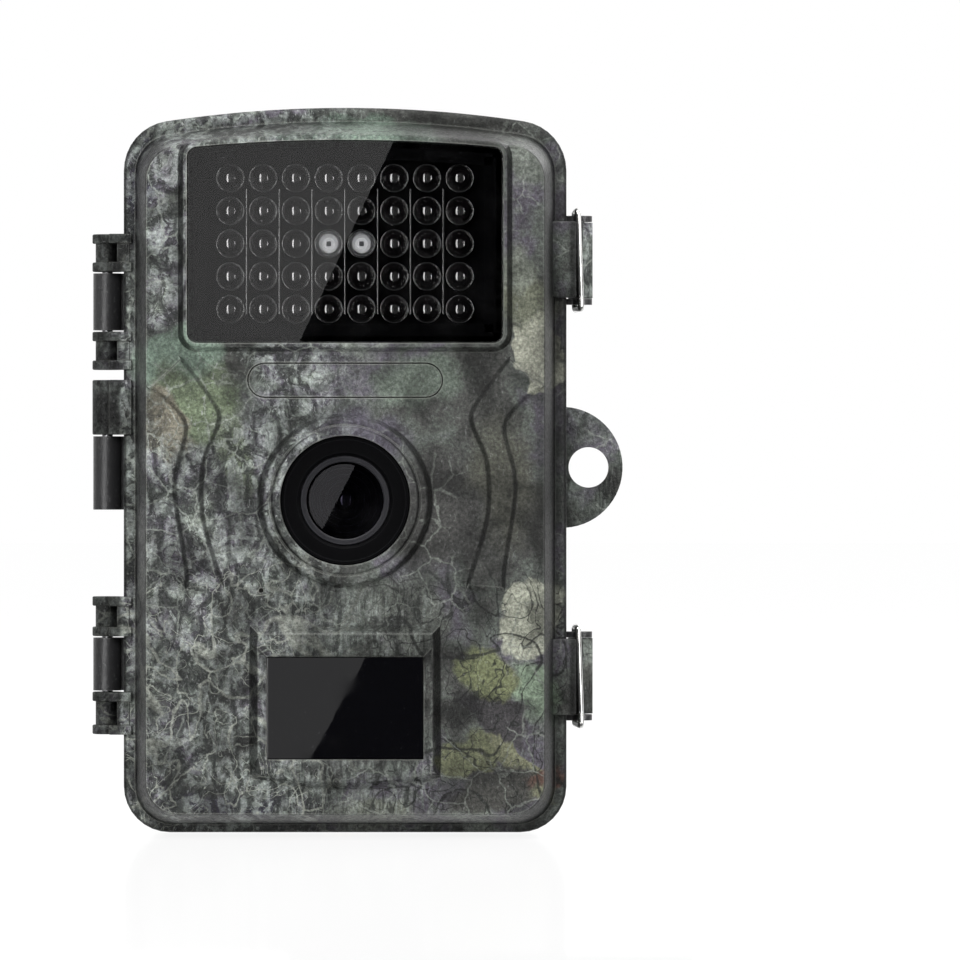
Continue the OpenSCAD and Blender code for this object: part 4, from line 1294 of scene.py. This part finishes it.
def strip_card(name, angle, width, height, level):
    """A tall glowing strip, 1 m away to one side, that makes the upright glints on the diodes."""
    a = math.radians(angle)
    x, y = math.sin(a), -math.cos(a)
    half = Vector((math.cos(a), math.sin(a), 0)) * (width / 2)
    middle = LENS_Z * MM + 0.06
    foot, head = middle - height / 2, middle + height / 2
    card(name, [(x - half.x, y - half.y, foot), (x + half.x, y + half.y, foot),
                (x + half.x, y + half.y, head), (x - half.x, y - half.y, head)], level)


def arch_cards():
    """A glowing arch over the part, of flat cards, that lights the upper side of each rim."""
    half, back_y, front_y = math.radians(7.6), -0.15, -0.45
    for i, turn in enumerate(range(-75, 76, 15)):
        a = math.radians(turn)
        corners = [(math.sin(a + side * half), y, LENS_Z * MM + math.cos(a + side * half))
                   for side, y in ((-1, back_y), (1, back_y), (1, front_y), (-1, front_y))]
        card(f"arch_{i}", corners, 3.5)


window_cards()
strip_card("strip_left", -26, 0.22, 2.1, 9.0)
strip_card("strip_right", 41, 0.20, 1.9, 11.0)
arch_cards()


AIM = Vector((0, -0.02, 0.07))


def softbox(name, location, size, energy):
    lamp = bpy.data.lights.new(name, "AREA")
    lamp.shape = "RECTANGLE"
    lamp.size, lamp.size_y = size
    lamp.energy = energy
    obj = bpy.data.objects.new(name, lamp)
    obj.location = location
    obj.rotation_euler = (Vector(location) - AIM).to_track_quat("Z", "Y").to_euler()
    bpy.context.scene.collection.objects.link(obj)
    return obj


softbox("key", (-0.20, -1.30, 0.62), (0.6, 0.5), 19).visible_glossy = False
softbox("top", (0.0, -0.22, 0.95), (0.9, 0.35), 6)
softbox("back", (0.5, 0.9, 0.6), (0.6, 0.6), 5)


def studio_world():
    """White to the camera and, in reflections, behind the part; dim elsewhere, with a faint fill."""
    world = bpy.data.worlds.new("studio")
    world.use_nodes = True
    bpy.context.scene.world = world
    sky = Nodes(world.node_tree)
    rays = sky.node("LightPath").outputs
    away_from_camera = sky.axis(sky.node("TexCoord").outputs["Generated"], "Y")
    spread = {"Value": away_from_camera, "From Min": 0.1, "From Max": 0.3, "To Min": 0.2, "To Max": 1.0}
    mirrored = sky.both(rays["Is Glossy Ray"], sky.node("MapRange", spread).outputs["Result"])
    level = sky.math("MAXIMUM", rays["Is Camera Ray"], mirrored)
    background = world.node_tree.nodes["Background"]
    sky.feed(background.inputs["Strength"], sky.math("MAXIMUM", level, 0.10))
    background.inputs["Color"].default_value = grey(1.0)


studio_world()
